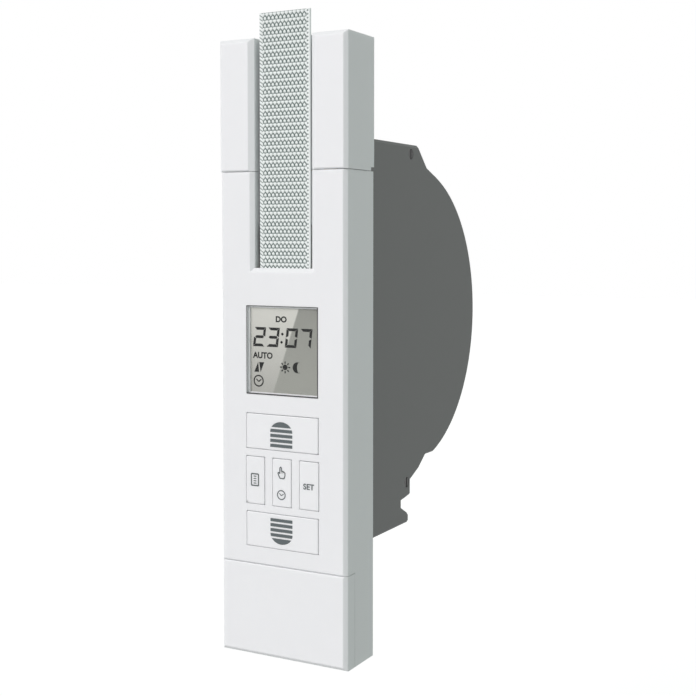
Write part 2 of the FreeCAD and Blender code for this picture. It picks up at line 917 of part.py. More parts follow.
def left_shell():
    body = plain_shell().mirror(vec(0, 0, 0), vec(1, 0, 0))
    body = body.fuse(motor_cradle(-cavity_half - 1, worm_wheel_x - cradle_gap))
    y, z = idler_centre()
    boss_line = (vec(-cavity_half - over, y, z), vec(gear_outer_x - gear_side_gap, y, z))
    body = body.fuse(rod(idler_pin_radius + idler_boss_wall, *boss_line))
    body = body.cut(rod(idler_pin_radius + press_gap, vec(-shell_half + axle_skin, y, z), vec(0, y, z)))
    for y, z in shell_bosses():
        body = body.cut(rod(screw_radius + snug_gap, vec(-shell_screw_grip - over, y, z), vec(over, y, z)))
    return body.removeSplitter()


def idler_centre():
    """The point that lies one gear pitch from the pinion and one from the spool."""
    line_y = spool_y - drive_shaft_y
    line_z = spool_z - drive_shaft_z
    distance = math.hypot(line_y, line_z)
    near = pinion_radius + idler_radius
    far = spool_gear_radius + idler_radius
    along = (near**2 - far**2 + distance**2) / (2 * distance)
    across = math.sqrt(near**2 - along**2)
    unit_y = line_y / distance
    unit_z = line_z / distance
    y = drive_shaft_y + along * unit_y + across * unit_z
    z = drive_shaft_z + along * unit_z - across * unit_y
    return y, z


def involute(angle):
    return math.tan(angle) - angle


def half_tooth(radius, module, teeth):
    """Half the angle that a tooth takes at a radius."""
    pitch_radius = module * teeth / 2
    base_radius = pitch_radius * math.cos(pressure_angle)
    at_pitch = (math.pi * module / 2 - tooth_play) / (2 * pitch_radius)
    slope = math.acos(base_radius / max(radius, base_radius))
    return at_pitch + involute(pressure_angle) - involute(slope)


def gear_wire(x, module, teeth, phase, flank_steps=3):
    """The toothed outline of a gear on the X axis. A tooth points along the angle phase."""
    pitch_radius = module * teeth / 2
    root = pitch_radius - dedendum * module
    tip = pitch_radius + addendum * module
    base_radius = pitch_radius * math.cos(pressure_angle)
    low = max(root, base_radius)
    radii = [root] if low > root + 0.05 else []
    radii += [low + (tip - low) * step / (flank_steps - 1) for step in range(flank_steps)]
    points = []
    for tooth in range(teeth):
        middle = phase + 2 * math.pi * tooth / teeth
        for radius in radii:
            angle = middle - half_tooth(radius, module, teeth)
            points.append(vec(x, radius * math.cos(angle), radius * math.sin(angle)))
        for radius in reversed(radii):
            angle = middle + half_tooth(radius, module, teeth)
            points.append(vec(x, radius * math.cos(angle), radius * math.sin(angle)))
    return closed_wire(points)


def gear_phases():
    """Rest angles that bring the pinion, the idler and the spool gear into mesh."""
    y, z = idler_centre()
    to_idler = math.atan2(z - drive_shaft_z, y - drive_shaft_y)
    pinion_phase = to_idler
    idler_phase = to_idler + math.pi + math.pi / idler_teeth
    to_spool = math.atan2(spool_z - z, spool_y - y)
    step = 2 * math.pi / idler_teeth
    offset = (idler_phase - to_spool) % step
    space = to_spool + math.pi - offset * idler_radius / spool_gear_radius
    spool_phase = space + math.pi / spool_teeth
    return pinion_phase, idler_phase, spool_phase


def spur_gear(x0, x1, centre, teeth, phase, flank_steps=3):
    gear = Part.Face(gear_wire(x0, tooth_module, teeth, phase, flank_steps)).extrude(vec(x1 - x0, 0, 0))
    gear.translate(vec(0, centre[0], centre[1]))
    return gear


def flange_screw_places():
    turns = [2 * math.pi * (index + 0.5) / flange_screws for index in range(flange_screws)]
    radius = flange_screw_circle
    return [(spool_y + radius * math.cos(turn), spool_z + radius * math.sin(turn)) for turn in turns]


def drive_gear():
    """The spool's left flange: a thin web inside a toothed rim."""
    phase = gear_phases()[2]
    centre = (spool_y, spool_z)
    gear = spur_gear(gear_outer_x, gear_inner_x, centre, spool_teeth, phase, 2)
    inside = spool_gear_radius - dedendum * tooth_module - gear_rim
    recess = rod(inside, vec(gear_outer_x - over, *centre), vec(-flange_outer_x, *centre))
    gear = gear.cut(recess)
    gear = gear.cut(rod(hub_radius + snug_gap, vec(gear_outer_x - over, *centre), vec(0, *centre)))
    for y, z in flange_screw_places():
        gear = gear.cut(rod(screw_radius + snug_gap, vec(gear_outer_x, y, z), vec(0, y, z)))
    return gear.removeSplitter()


def belt_spool():
    """The core that the belt winds on, with its hub, its ribs and its right flange."""
    inner = flange_inner_x
    centre = (spool_y, spool_z)
    outer = flange_outer_x
    core = rod(core_radius, vec(-inner, *centre), vec(inner, *centre))
    core = core.cut(rod(core_radius - core_wall, vec(-inner - over, *centre), vec(inner, *centre)))
    flange = rod(spool_flange_radius, vec(inner, *centre), vec(outer, *centre))
    hub = rod(hub_radius, vec(-outer, *centre), vec(outer, *centre))
    body = core.fuse([flange, hub])
    half_rib = spool_rib_thickness / 2
    pitch = 360 / spool_ribs
    for index in range(spool_ribs):
        rib = block(-inner, inner, hub_radius - over, core_radius - over, -half_rib, half_rib)
        rib.rotate(vec(0, 0, 0), vec(1, 0, 0), pitch * index)
        rib.translate(vec(0, *centre))
        body = body.fuse(rib)
        turn = math.radians(pitch * (index + 0.5))
        y = spool_y + flange_hole_circle * math.cos(turn)
        z = spool_z + flange_hole_circle * math.sin(turn)
        body = body.cut(rod(flange_hole_radius, vec(inner - over, y, z), vec(outer + over, y, z)))
    bore = axle_radius + shaft_play + bush_wall
    return body.cut(rod(bore, vec(-outer - over, *centre), vec(outer + over, *centre))).removeSplitter()


def spool_bushes():
    """Two bronze bushes pressed into the ends of the spool's hub."""
    bushes = []
    outer = flange_outer_x
    for side in (-1, 1):
        start = vec(side * outer, spool_y, spool_z)
        end = vec(side * (outer - hub_bush_length), spool_y, spool_z)
        tube = rod(axle_radius + shaft_play + bush_wall, start, end)
        bushes.append(tube.cut(rod(axle_radius + shaft_play, start, end)))
    return group(bushes)


def spool_axle():
    end = shell_half - axle_skin
    return rod(axle_radius, vec(-end, spool_y, spool_z), vec(end, spool_y, spool_z))


def belt_winding():
    """The belt wound on the core, as far as it fills the spool."""
    centre = (spool_y, spool_z)
    full = rod(winding_radius, vec(-winding_half, *centre), vec(winding_half, *centre))
    return full.cut(rod(core_radius, vec(-winding_half - over, *centre), vec(winding_half + over, *centre)))


def belt():
    """The belt from above the housing, down the channel, round the roller and up to the winding."""
    half = belt_thickness / 2
    turn_radius = roller_wrap_radius + half
    lay_radius = winding_radius + winding_play + half
    across_y = spool_y - roller_y
    across_z = spool_z - roller_z
    distance = math.hypot(across_y, across_z)
    slope = math.atan2(across_z, across_y) + math.asin((turn_radius + lay_radius) / distance)
    path = []
    for side in (-half, half):
        radius = turn_radius + side
        reach = lay_radius - side
        low = vec(0, roller_y - radius, roller_z)
        middle = -math.pi / 2 + (slope - math.pi / 2) / 2
        arc_middle = vec(0, roller_y + radius * math.cos(middle), roller_z + radius * math.sin(middle))
        arc_end = vec(0, roller_y + radius * math.sin(slope), roller_z - radius * math.cos(slope))
        far_end = vec(0, spool_y - reach * math.sin(slope), spool_z + reach * math.cos(slope))
        path.append((vec(0, roller_y - radius, belt_end_z), low, arc_middle, arc_end, far_end))
    near, far = path
    edges = [
        Part.LineSegment(near[0], near[1]).toShape(),
        Part.Arc(near[1], near[2], near[3]).toShape(),
        Part.LineSegment(near[3], near[4]).toShape(),
        Part.LineSegment(near[4], far[4]).toShape(),
        Part.LineSegment(far[4], far[3]).toShape(),
        Part.Arc(far[3], far[2], far[1]).toShape(),
        Part.LineSegment(far[1], far[0]).toShape(),
        Part.LineSegment(far[0], near[0]).toShape(),
    ]
    strip = Part.Face(Part.Wire(edges)).extrude(vec(belt_width, 0, 0))
    strip.translate(vec(-belt_width / 2, 0, 0))
    return strip


def deflection_roller():
    centre = (roller_y, roller_z)
    barrel = rod(roller_radius, vec(-roller_half, *centre), vec(roller_half, *centre))
    bore_line = (vec(-roller_half - over, *centre), vec(roller_half + over, *centre))
    return barrel.cut(rod(roller_pin_radius + roller_bore_gap, *bore_line))


def roller_pin():
    end = shell_half + running_gap + clip_thickness + pin_tip
    centre = (roller_y, roller_z)
    shank = rod(roller_pin_radius, vec(-shell_half - running_gap, *centre), vec(end, *centre))
    head_start = -shell_half - running_gap
    head = rod(pin_head_radius, vec(head_start - pin_head_length, *centre), vec(head_start, *centre))
    return shank.fuse(head).removeSplitter()


def roller_clip():
    """The spring washer that keeps the roller's pin in its cheeks."""
    start = shell_half + running_gap
    centre = (roller_y, roller_z)
    end = start + clip_thickness
    disc = rod(pin_head_radius, vec(start, *centre), vec(end, *centre))
    disc = disc.cut(rod(roller_pin_radius, vec(start - over, *centre), vec(end + over, *centre)))
    half = clip_thickness
    gap_top = roller_z + pin_head_radius + over
    gap = block(start - over, end + over, roller_y - half, roller_y + half, roller_z, gap_top)
    return disc.cut(gap)


def drive_shaft():
    centre = (drive_shaft_y, drive_shaft_z)
    return rod(shaft_radius, vec(-shell_half, *centre), vec(shell_half, *centre))


def shaft_bushes():
    """Plain bearings of the drive shaft, one in each cheek."""
    bushes = []
    for side in (-1, 1):
        start = vec(side * shell_half, drive_shaft_y, drive_shaft_z)
        end = vec(side * cavity_half, drive_shaft_y, drive_shaft_z)
        tube = rod(shaft_radius + shaft_play + bush_wall, start, end)
        bushes.append(tube.cut(rod(shaft_radius + shaft_play, start, end)))
    return group(bushes)


def pinion():
    phase = gear_phases()[0]
    gear = spur_gear(gear_outer_x, gear_inner_x, (drive_shaft_y, drive_shaft_z), pinion_teeth, phase)
    centre = (drive_shaft_y, drive_shaft_z)
    return gear.cut(rod(shaft_radius, vec(gear_outer_x - over, *centre), vec(gear_inner_x + over, *centre)))


def idler_gear():
    centre = idler_centre()
    gear = spur_gear(gear_outer_x, gear_inner_x, centre, idler_teeth, gear_phases()[1])
    bore = idler_pin_radius + shaft_play
    return gear.cut(rod(bore, vec(gear_outer_x - over, *centre), vec(gear_inner_x + over, *centre)))


def idler_pin():
    centre = idler_centre()
    head_x = gear_inner_x + gear_side_gap
    head_end = head_x + idler_head_length
    shank = rod(idler_pin_radius, vec(-shell_half + axle_skin, *centre), vec(head_end, *centre))
    head = rod(idler_pin_radius + idler_boss_wall, vec(head_x, *centre), vec(head_end, *centre))
    return shank.fuse(head).removeSplitter()


def worm_wheel():
    """A wheel whose teeth lean by the worm's lead angle."""
    half = worm_wheel_width / 2
    lean = worm_lead / (2 * math.pi * worm_pitch_radius)
    twist = lean * half / worm_wheel_radius
    phase = -math.pi / 2 + math.pi / worm_wheel_teeth
    ends = []
    for side in (-1, 1):
        x = worm_wheel_x + side * half
        ends.append(gear_wire(x, worm_module, worm_wheel_teeth, phase + side * twist, 2))
    gear = Part.makeLoft(ends, True, True)
    gear.translate(vec(0, drive_shaft_y, drive_shaft_z))
    centre = (drive_shaft_y, drive_shaft_z)
    return gear.cut(rod(shaft_radius, vec(worm_wheel_x - 10, *centre), vec(worm_wheel_x + 10, *centre)))


def thread_section(angle, height, along):
    """One cut through the worm's thread. Its height runs from 0 at a run-out to 1."""
    root = worm_pitch_radius - dedendum * worm_module
    tip = worm_pitch_radius + addendum * worm_module
    sunk = root - thread_sink
    top = root + thread_runout + (tip - root - thread_runout) * height
    half = worm_lead / 4 - tooth_play / 2
    flank = math.tan(pressure_angle)
    low = half + (worm_pitch_radius - sunk) * flank
    high = half - (top - worm_pitch_radius) * flank
    corners = [(sunk, -low), (top, -high), (top, high), (sunk, low)]
    return closed_wire([vec(r * math.cos(angle), r * math.sin(angle), along + rise) for r, rise in corners])


def worm():
    """A single-start right-hand worm along the Y axis, whose thread runs out at both ends."""
    length = worm_rear_y - worm_front_y
    root = worm_pitch_radius - dedendum * worm_module
    core = Part.makeCylinder(root, length)
    at_top = 0.75 * worm_lead
    first = (drive_shaft_y - worm_front_y - at_top) % worm_lead
    if first < worm_lead / 2:
        first += worm_lead
    steps = int((length - first - worm_lead / 2) / worm_lead * thread_steps)
    runout_steps = thread_steps / 4
    sections = []
    for step in range(steps + 1):
        angle = 2 * math.pi * step / thread_steps
        height = min(1, step / runout_steps, (steps - step) / runout_steps)
        sections.append(thread_section(angle, height, first + worm_lead * step / thread_steps))
    body = core.fuse(Part.makeLoft(sections, True, True))
    body = body.cut(Part.makeCylinder(motor_shaft_radius, length + 2, vec(0, 0, -1)))
    body.rotate(vec(0, 0, 0), vec(1, 0, 0), -90)
    body.translate(vec(worm_wheel_x, worm_front_y, worm_z))
    return body


def motor_shaft():
    front = worm_front_y - magnet_length - motor_shaft_tip
    rear = motor_front_y + motor_shaft_seat
    return rod(motor_shaft_radius, vec(worm_wheel_x, front, worm_z), vec(worm_wheel_x, rear, worm_z))


def pulse_magnet():
    """The magnet on the motor shaft that a sensor on the control board counts."""
    rear = worm_front_y
    front = rear - magnet_length
    disc = rod(magnet_radius, vec(worm_wheel_x, front, worm_z), vec(worm_wheel_x, rear, worm_z))
    bore_line = (vec(worm_wheel_x, front - over, worm_z), vec(worm_wheel_x, rear + over, worm_z))
    return disc.cut(rod(motor_shaft_radius, *bore_line))


def pulse_sensor():
    half = sensor_size / 2
    x = worm_wheel_x
    return block(x - half, x + half, board_rear_y, board_rear_y + sensor_height, worm_z - half, worm_z + half)


def motor():
    """A can motor with a stepped nose, an end cap and two terminals."""
    rear = motor_front_y + motor_length
    x = worm_wheel_x
    can = rod(motor_radius, vec(x, motor_front_y, worm_z), vec(x, rear, worm_z))
    nose_front = motor_front_y - motor_boss_length
    nose = rod(motor_boss_radius, vec(x, nose_front, worm_z), vec(x, motor_front_y + over, worm_z))
    tail = rod(motor_tail_radius, vec(x, rear - over, worm_z), vec(x, rear + motor_tail_length, worm_z))
    body = can.fuse([nose, tail])
    for side in (-1, 1):
        tab_x = x + side * motor_tab_x
        half = motor_tab_width / 2
        tab_z = worm_z + motor_tab_rise
        tab_end = rear + motor_tab_length
        tab_top = tab_z + motor_tab_thickness
        tab = block(tab_x - half, tab_x + half, rear - over, tab_end, tab_z, tab_top)
        body = body.fuse(tab)
    bore_line = (vec(x, nose_front - over, worm_z), vec(x, motor_front_y + motor_bore_depth, worm_z))
    body = body.cut(rod(motor_shaft_radius + shaft_play, *bore_line))
    for side in (-1, 1):
        hole_x = x + side * motor_screw_offset
        hole_end = motor_front_y + motor_screw_grip + 1
        hole_line = (vec(hole_x, motor_front_y - over, worm_z), vec(hole_x, hole_end, worm_z))
        body = body.cut(rod(screw_radius + press_gap, *hole_line))
    return body.removeSplitter()


def motor_bracket():
    y0 = motor_front_y - bracket_thickness
    top = worm_z + bracket_rise
    bottom = shell_bottom_z + wall + snug_gap
    edge = cavity_half - snug_gap
    plate = block(-edge, edge, y0, motor_front_y, bottom, top)
    holes = [(worm_wheel_x, motor_boss_radius + snug_gap)]
    for side in (-1, 1):
        holes.append((worm_wheel_x + side * motor_screw_offset, screw_radius + snug_gap))
    for x, radius in holes:
        plate = plate.cut(rod(radius, vec(x, y0 - over, worm_z), vec(x, motor_front_y + over, worm_z)))
    return plate


def motor_screws():
    y0 = motor_front_y - bracket_thickness
    places = [worm_wheel_x + side * motor_screw_offset for side in (-1, 1)]
    length = bracket_thickness + motor_screw_grip
    return group([screw(vec(x, y0, worm_z), (0, 1, 0), length, short_head_radius) for x in places])


def frame_screws():
    """The screws that hold the body in the wall to the mounting frame."""
    return group([screw(vec(x, ear_y, z), (0, 1, 0), -ear_y - frame_screw_end_gap) for x, z in shell_ears()])


def panel_screws():
    """The screws that hold the front panel, hidden by the two covers."""
    length = panel_screw_length
    return group([screw(vec(x, panel_tab_y, z), (0, 1, 0), length) for x, z in panel_tabs()])


def shell_screws():
    """The screws that join the two halves of the body in the wall."""
    seat = shell_screw_seat()
    screws = []
    for y, z in shell_bosses():
        screws.append(screw(vec(seat, y, z), (-1, 0, 0), seat + shell_screw_grip, short_head_radius))
    return group(screws)


def gear_screws():
    """The screws that join the toothed flange to the spool."""
    screws = []
    for y, z in flange_screw_places():
        screws.append(screw(vec(-flange_outer_x, y, z), (1, 0, 0), spool_flange_thickness, short_head_radius))
    return group(screws)


def power_board():
    edge = cavity_half - snug_gap
    return block(
        -edge, edge, power_board_front_y, power_board_rear_y, power_board_z, power_board_z + board_thickness
    )


def transformer_core():
    """Stacked iron with two windows that the coil passes through."""
    half = transformer_length / 2
    base = power_board_z + board_thickness
    y0 = power_board_front_y + transformer_leg
    y1 = y0 + transformer_depth - coil_overhang
    core = block(-half, half, y0, y1, base, base + transformer_height)
    leg = transformer_leg
    for side in (-1, 1):
        x0, x1 = sorted((side * leg, side * (half - leg)))
        core = core.cut(block(x0, x1, y0 - over, y1 + over, base + leg, base + transformer_height - leg))
    return core


def transformer_coil():
    half = transformer_length / 2
    base = power_board_z + board_thickness
    leg = transformer_leg
    y0 = power_board_front_y + transformer_leg
    y1 = y0 + transformer_depth - coil_overhang
    out = coil_overhang
    side = half - leg - coil_gap
    low = base + leg + coil_gap
    high = base + transformer_height - leg - coil_gap
    outer = block(-side, side, y0 - out, y1 + out - coil_rear_gap, low, high)
    reach = leg + coil_gap
    inner = block(-reach, reach, y0 - coil_gap, y1 + coil_gap, base, base + transformer_height)
    return outer.cut(inner)


def terminal_block():
    half = terminal_width / 2
    back = frame_front_y
    front = back - terminal_depth
    body = block(-half, half, front, back, terminal_bottom, terminal_top)
    pitch = terminal_width / terminal_count
    middle_z = (terminal_top + terminal_bottom) / 2
    for index in range(terminal_count):
        x = -half + pitch * (index + 0.5)
        well_end = front + terminal_well_depth
        well_line = (vec(x, front - over, middle_z), vec(x, well_end, middle_z))
        well = rod(terminal_screw_radius + running_gap, *well_line)
        wire_y = well_end + terminal_wire_radius + wall / 4
        wire_top = terminal_top - wall
        wire = rod(terminal_wire_radius, vec(x, wire_y, terminal_bottom - over), vec(x, wire_y, wire_top))
        body = body.cut(well).cut(wire)
    return body


def terminal_screws():
    half = terminal_width / 2
    front = frame_front_y - terminal_depth
    pitch = terminal_width / terminal_count
    middle_z = (terminal_top + terminal_bottom) / 2
    screws = []
    for index in range(terminal_count):
        x = -half + pitch * (index + 0.5)
        head_y = front + terminal_screw_sink
        foot_y = front + terminal_well_depth
        body = rod(terminal_screw_radius, vec(x, head_y, middle_z), vec(x, foot_y, middle_z))
        half_slot = slot_width / 2
        reach = terminal_screw_radius + over
        slot_end = head_y + slot_depth
        slot = block(x - reach, x + reach, front, slot_end, middle_z - half_slot, middle_z + half_slot)
        screws.append(body.cut(slot))
    return group(screws)


def build():
    pieces = {
        "mounting_frame": mounting_frame(),
        "left_shell": left_shell(),
        "right_shell": right_shell(),
        "front_panel": front_panel(),
        "top_cover": top_cover(),
        "bottom_cover": bottom_cover(),
        "display_window": display_window(),
        "lcd_module": lcd_module(),
        "lcd_frame": lcd_frame(),
        "control_board": control_board(),
        "board_components": board_components(),
        "board_screws": board_screws(),
        "key_switches": key_switches(),
        "belt": belt(),
        "belt_winding": belt_winding(),
        "belt_spool": belt_spool(),
        "drive_gear": drive_gear(),
        "gear_screws": gear_screws(),
        "spool_bushes": spool_bushes(),
        "spool_axle": spool_axle(),
        "idler_gear": idler_gear(),
        "idler_pin": idler_pin(),
        "pinion": pinion(),
        "worm_wheel": worm_wheel(),
        "drive_shaft": drive_shaft(),
        "shaft_bushes": shaft_bushes(),
        "worm": worm(),
        "motor_shaft": motor_shaft(),
        "pulse_magnet": pulse_magnet(),
        "pulse_sensor": pulse_sensor(),
        "motor": motor(),
        "motor_bracket": motor_bracket(),
        "motor_screws": motor_screws(),
        "deflection_roller": deflection_roller(),
        "roller_pin": roller_pin(),
        "roller_clip": roller_clip(),
        "frame_screws": frame_screws(),
        "panel_screws": panel_screws(),
        "shell_screws": shell_screws(),
        "power_board": power_board(),
        "transformer_core": transformer_core(),
        "transformer_coil": transformer_coil(),
        "terminal_block": terminal_block(),
        "terminal_screws": terminal_screws(),
    }
    for name, box in button_boxes().items():
        pieces[name] = button(*box)
    return pieces


os.makedirs("parts", exist_ok=True)
for name, shape in build().items():
    shape.exportStep(os.path.join("parts", name + ".step"))
    print(name, len(shape.Solids), shape.isValid(), round(shape.Volume, 1))
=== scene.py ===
import math

import bpy
import numpy as np
from bpy.props import FloatProperty, FloatVectorProperty, IntProperty, PointerProperty
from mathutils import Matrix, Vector


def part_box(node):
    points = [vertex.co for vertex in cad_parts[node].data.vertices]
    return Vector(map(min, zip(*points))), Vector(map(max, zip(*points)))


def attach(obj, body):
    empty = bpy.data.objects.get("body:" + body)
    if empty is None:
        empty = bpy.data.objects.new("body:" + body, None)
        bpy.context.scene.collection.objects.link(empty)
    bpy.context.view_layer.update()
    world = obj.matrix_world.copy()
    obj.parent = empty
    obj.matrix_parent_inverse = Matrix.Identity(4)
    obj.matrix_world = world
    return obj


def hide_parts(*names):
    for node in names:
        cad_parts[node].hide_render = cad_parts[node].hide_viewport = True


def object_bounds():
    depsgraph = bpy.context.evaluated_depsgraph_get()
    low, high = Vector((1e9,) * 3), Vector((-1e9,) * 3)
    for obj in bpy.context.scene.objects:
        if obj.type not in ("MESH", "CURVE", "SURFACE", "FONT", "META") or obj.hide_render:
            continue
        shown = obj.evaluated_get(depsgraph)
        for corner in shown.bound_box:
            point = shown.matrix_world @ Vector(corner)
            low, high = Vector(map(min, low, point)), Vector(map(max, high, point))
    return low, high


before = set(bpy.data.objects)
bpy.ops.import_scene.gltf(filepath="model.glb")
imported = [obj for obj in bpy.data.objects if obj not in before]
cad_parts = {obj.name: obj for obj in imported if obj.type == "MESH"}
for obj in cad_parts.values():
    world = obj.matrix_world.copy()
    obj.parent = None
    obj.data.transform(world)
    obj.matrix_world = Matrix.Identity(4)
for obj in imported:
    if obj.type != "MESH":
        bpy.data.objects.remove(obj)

# Dresses the packed frame of an electric belt winder, and lights it.
# Lengths are in metres. X runs to the right, Y into the wall and Z up, as in the frame.

bl_info = {
    "name": "Electric belt winder",
    "version": (1, 0, 0),
    "blender": (4, 5, 0),
    "location": "3D View > Sidebar > Belt Winder",
    "description": "Dresses the frame of an electric belt winder and sets up its stage",
    "category": "Object",
}

MM = 0.001
PLAIN_WHITE = (1.0, 1.0, 1.0, 1.0)
CAD_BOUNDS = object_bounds()


def colour_property(name, about, default):
    return FloatVectorProperty(name=name, description=about, subtype="COLOR", size=3, default=default)


def length_property(name, about, default):
    return FloatProperty(name=name, description=about, subtype="DISTANCE", unit="LENGTH", default=default)


def angle_property(name, about, degrees):
    return FloatProperty(name=name, description=about, subtype="ANGLE", default=math.radians(degrees))


def place_property(name, about, default):
    return FloatVectorProperty(name=name, description=about, subtype="XYZ", unit="LENGTH", default=default)


def number_property(name, about, default, subtype="NONE"):
    return FloatProperty(name=name, description=about, subtype=subtype, default=default)


def count_property(name, about, default):
    return IntProperty(name=name, description=about, default=default, min=1)


class HousingSettings(bpy.types.PropertyGroup):
    """Plastics of the front, the buttons and the body in the wall."""

    white: colour_property("White", "Colour of the front, its covers and the buttons", (0.86, 0.88, 0.89))
    frame_white: colour_property("Frame white", "Colour of the mounting frame", (0.78, 0.79, 0.78))
    body_grey: colour_property("Body grey", "Colour of the two shells in the wall", (0.235, 0.235, 0.235))
    grain_size: length_property("Grain size", "Size of the moulded grain on the plastics", 0.45 * MM)
    grain_depth: length_property("Grain depth", "Height of the moulded grain on the plastics", 0.006 * MM)
    glow_reach: length_property("Glow reach", "How far light wanders inside the white plastics", 1.2 * MM)


class BeltSettings(bpy.types.PropertyGroup):
    """The woven belt."""

    yarn_white: colour_property("Yarn white", "Colour of the raised yarn", (0.95, 1.0, 0.985))
    # Painted shade: the hollows of the weave take this dark colour.
    weave_painted_shade: colour_property("Yarn shade", "Colour of the ground under the yarn", (0.035, 0.075, 0.065))
    columns: count_property("Columns", "Dots across the belt, its two edges included", 13)
    row_pitch: length_property("Row pitch", "Distance between two rows of the weave", 2.85 * MM)
    relief: length_property("Relief", "Height of the raised yarn over the ground", 0.34 * MM)
    step_across: length_property("Step across", "Width of one mesh cell across the belt", 0.221 * MM)
    step_along: length_property("Step along", "Length of one mesh cell along the belt", 0.285 * MM)
    edge_round: length_property("Edge rounding", "Width over which the belt thins out to its edges", 0.6 * MM)
    winding_turns: count_property("Winding turns", "Turns of belt on the spool", 14)
    winding_pitch: length_property("Winding pitch", "Distance between two turns on the spool", 1.28 * MM)


class DisplaySettings(bpy.types.PropertyGroup):
    """The display, its window and the printed signs."""

    # The film's two colours are painted light: a reflection on its left part and shade on its right.
    film_painted_reflection: colour_property("Film light", "Colour of the film's bright part", (0.665, 0.675, 0.62))
    film_painted_shade: colour_property("Film dark", "Colour of the film's shaded part", (0.265, 0.275, 0.245))
    window_tint: colour_property("Window tint", "Colour of the clear window", (0.80, 0.82, 0.81))
    # Painted light: the frame round the film is made pale so the shaded strip inside the window's edge reads
    # light.
    frame_painted_light: colour_property("Frame grey", "Colour of the frame round the film", (0.86, 0.87, 0.83))
    # Painted shadow in the gap round the window.
    joint: colour_property("Joint", "Colour of the joint round the window", (0.035, 0.037, 0.037))
    segment: colour_property("Segment", "Colour of the shown digits and signs", (0.006, 0.007, 0.007))
    ink: colour_property("Ink", "Colour of the print on the buttons", (0.095, 0.116, 0.12))
    print_height: length_property("Print height", "How far print stands on the surface under it", 0.03 * MM)
    digit_slant: angle_property("Digit slant", "Lean of the digits", 7)


class StageSettings(bpy.types.PropertyGroup):
    """Camera, lights and floor."""

    camera_place: place_property("Camera place", "Where the camera stands", (0.2430, -0.4164, 0.0434))
    camera_turn: angle_property("Camera turn", "Turn of the view to the left", 28.46)
    camera_tilt: angle_property("Camera tilt", "Tilt of the view, up is positive", -2.39)
    lens: number_property("Lens", "Focal length", 62.0, "DISTANCE_CAMERA")
    sensor: number_property("Sensor", "Width of the sensor", 36.0, "DISTANCE_CAMERA")
    shift: number_property("Shift", "Vertical shift of the lens", -0.085, "FACTOR")
    floor_gap: length_property("Floor gap", "Height of the part over the floor", 0.16)
    floor_size: length_property("Floor size", "Width of the floor", 12.0)
    floor_shade: colour_property("Floor shade", "Colour of the floor", (0.6, 0.6, 0.6))
    floor_glow: number_property("Floor glow", "Whitening of the floor in the view", 0.59)
    sky: number_property("Sky", "Strength of the even light round the part", 0.443)
    sky_tint: colour_property("Sky tint", "Colour of the even light", (0.906, 1.0, 0.95))
    key: number_property("Key", "Strength of the soft light from the front left", 1.9)
    key_tint: colour_property("Key tint", "Colour of the soft light", (1.0, 0.92, 0.96))
    key_place: place_property("Key place", "Where the soft light comes from", (-0.6, -1.7, 0.9))
    key_spread: angle_property("Key spread", "How wide the soft light is seen from the part", 40)


# Shader nodes

class Wire:
    """An output of a material's nodes. Arithmetic on it adds Math nodes."""

    def __init__(self, tree, socket=None):
        self.tree = tree
        self.socket = socket

    def node(self, kind, settings=None, inputs=None, output=0):
        """Adds a node, gives it its settings, then the values or wires of its inputs."""
        made = self.tree.nodes.new(kind)
        for name, value in (settings or {}).items():
            if name == "stops":
                shape_ramp(made.color_ramp, value)
            else:
                setattr(made, name, value)
        for key, value in (inputs or {}).items():
            if isinstance(value, Wire):
                self.tree.links.new(value.socket, made.inputs[key])
            else:
                made.inputs[key].default_value = value
        return Wire(self.tree, made.outputs[output])

    def beside(self, output):
        """Another output of the same node."""
        return Wire(self.tree, self.socket.node.outputs[output])

    def maths(self, operation, first, second):
        return self.node("ShaderNodeMath", {"operation": operation}, {0: first, 1: second})

    def __add__(self, other):
        return self.maths("ADD", self, other)

    def __radd__(self, other):
        return self.maths("ADD", other, self)

    def __sub__(self, other):
        return self.maths("SUBTRACT", self, other)

    def __rsub__(self, other):
        return self.maths("SUBTRACT", other, self)

    def __mul__(self, other):
        return self.maths("MULTIPLY", self, other)

    def __rmul__(self, other):
        return self.maths("MULTIPLY", other, self)


def shape_ramp(ramp, stops):
    """Gives a colour ramp its stops, each a place and a colour."""
    while len(ramp.elements) < len(stops):
        ramp.elements.new(1.0)
    for element, (place, colour) in zip(ramp.elements, stops):
        element.position = place
        element.color = (*colour, 1.0)


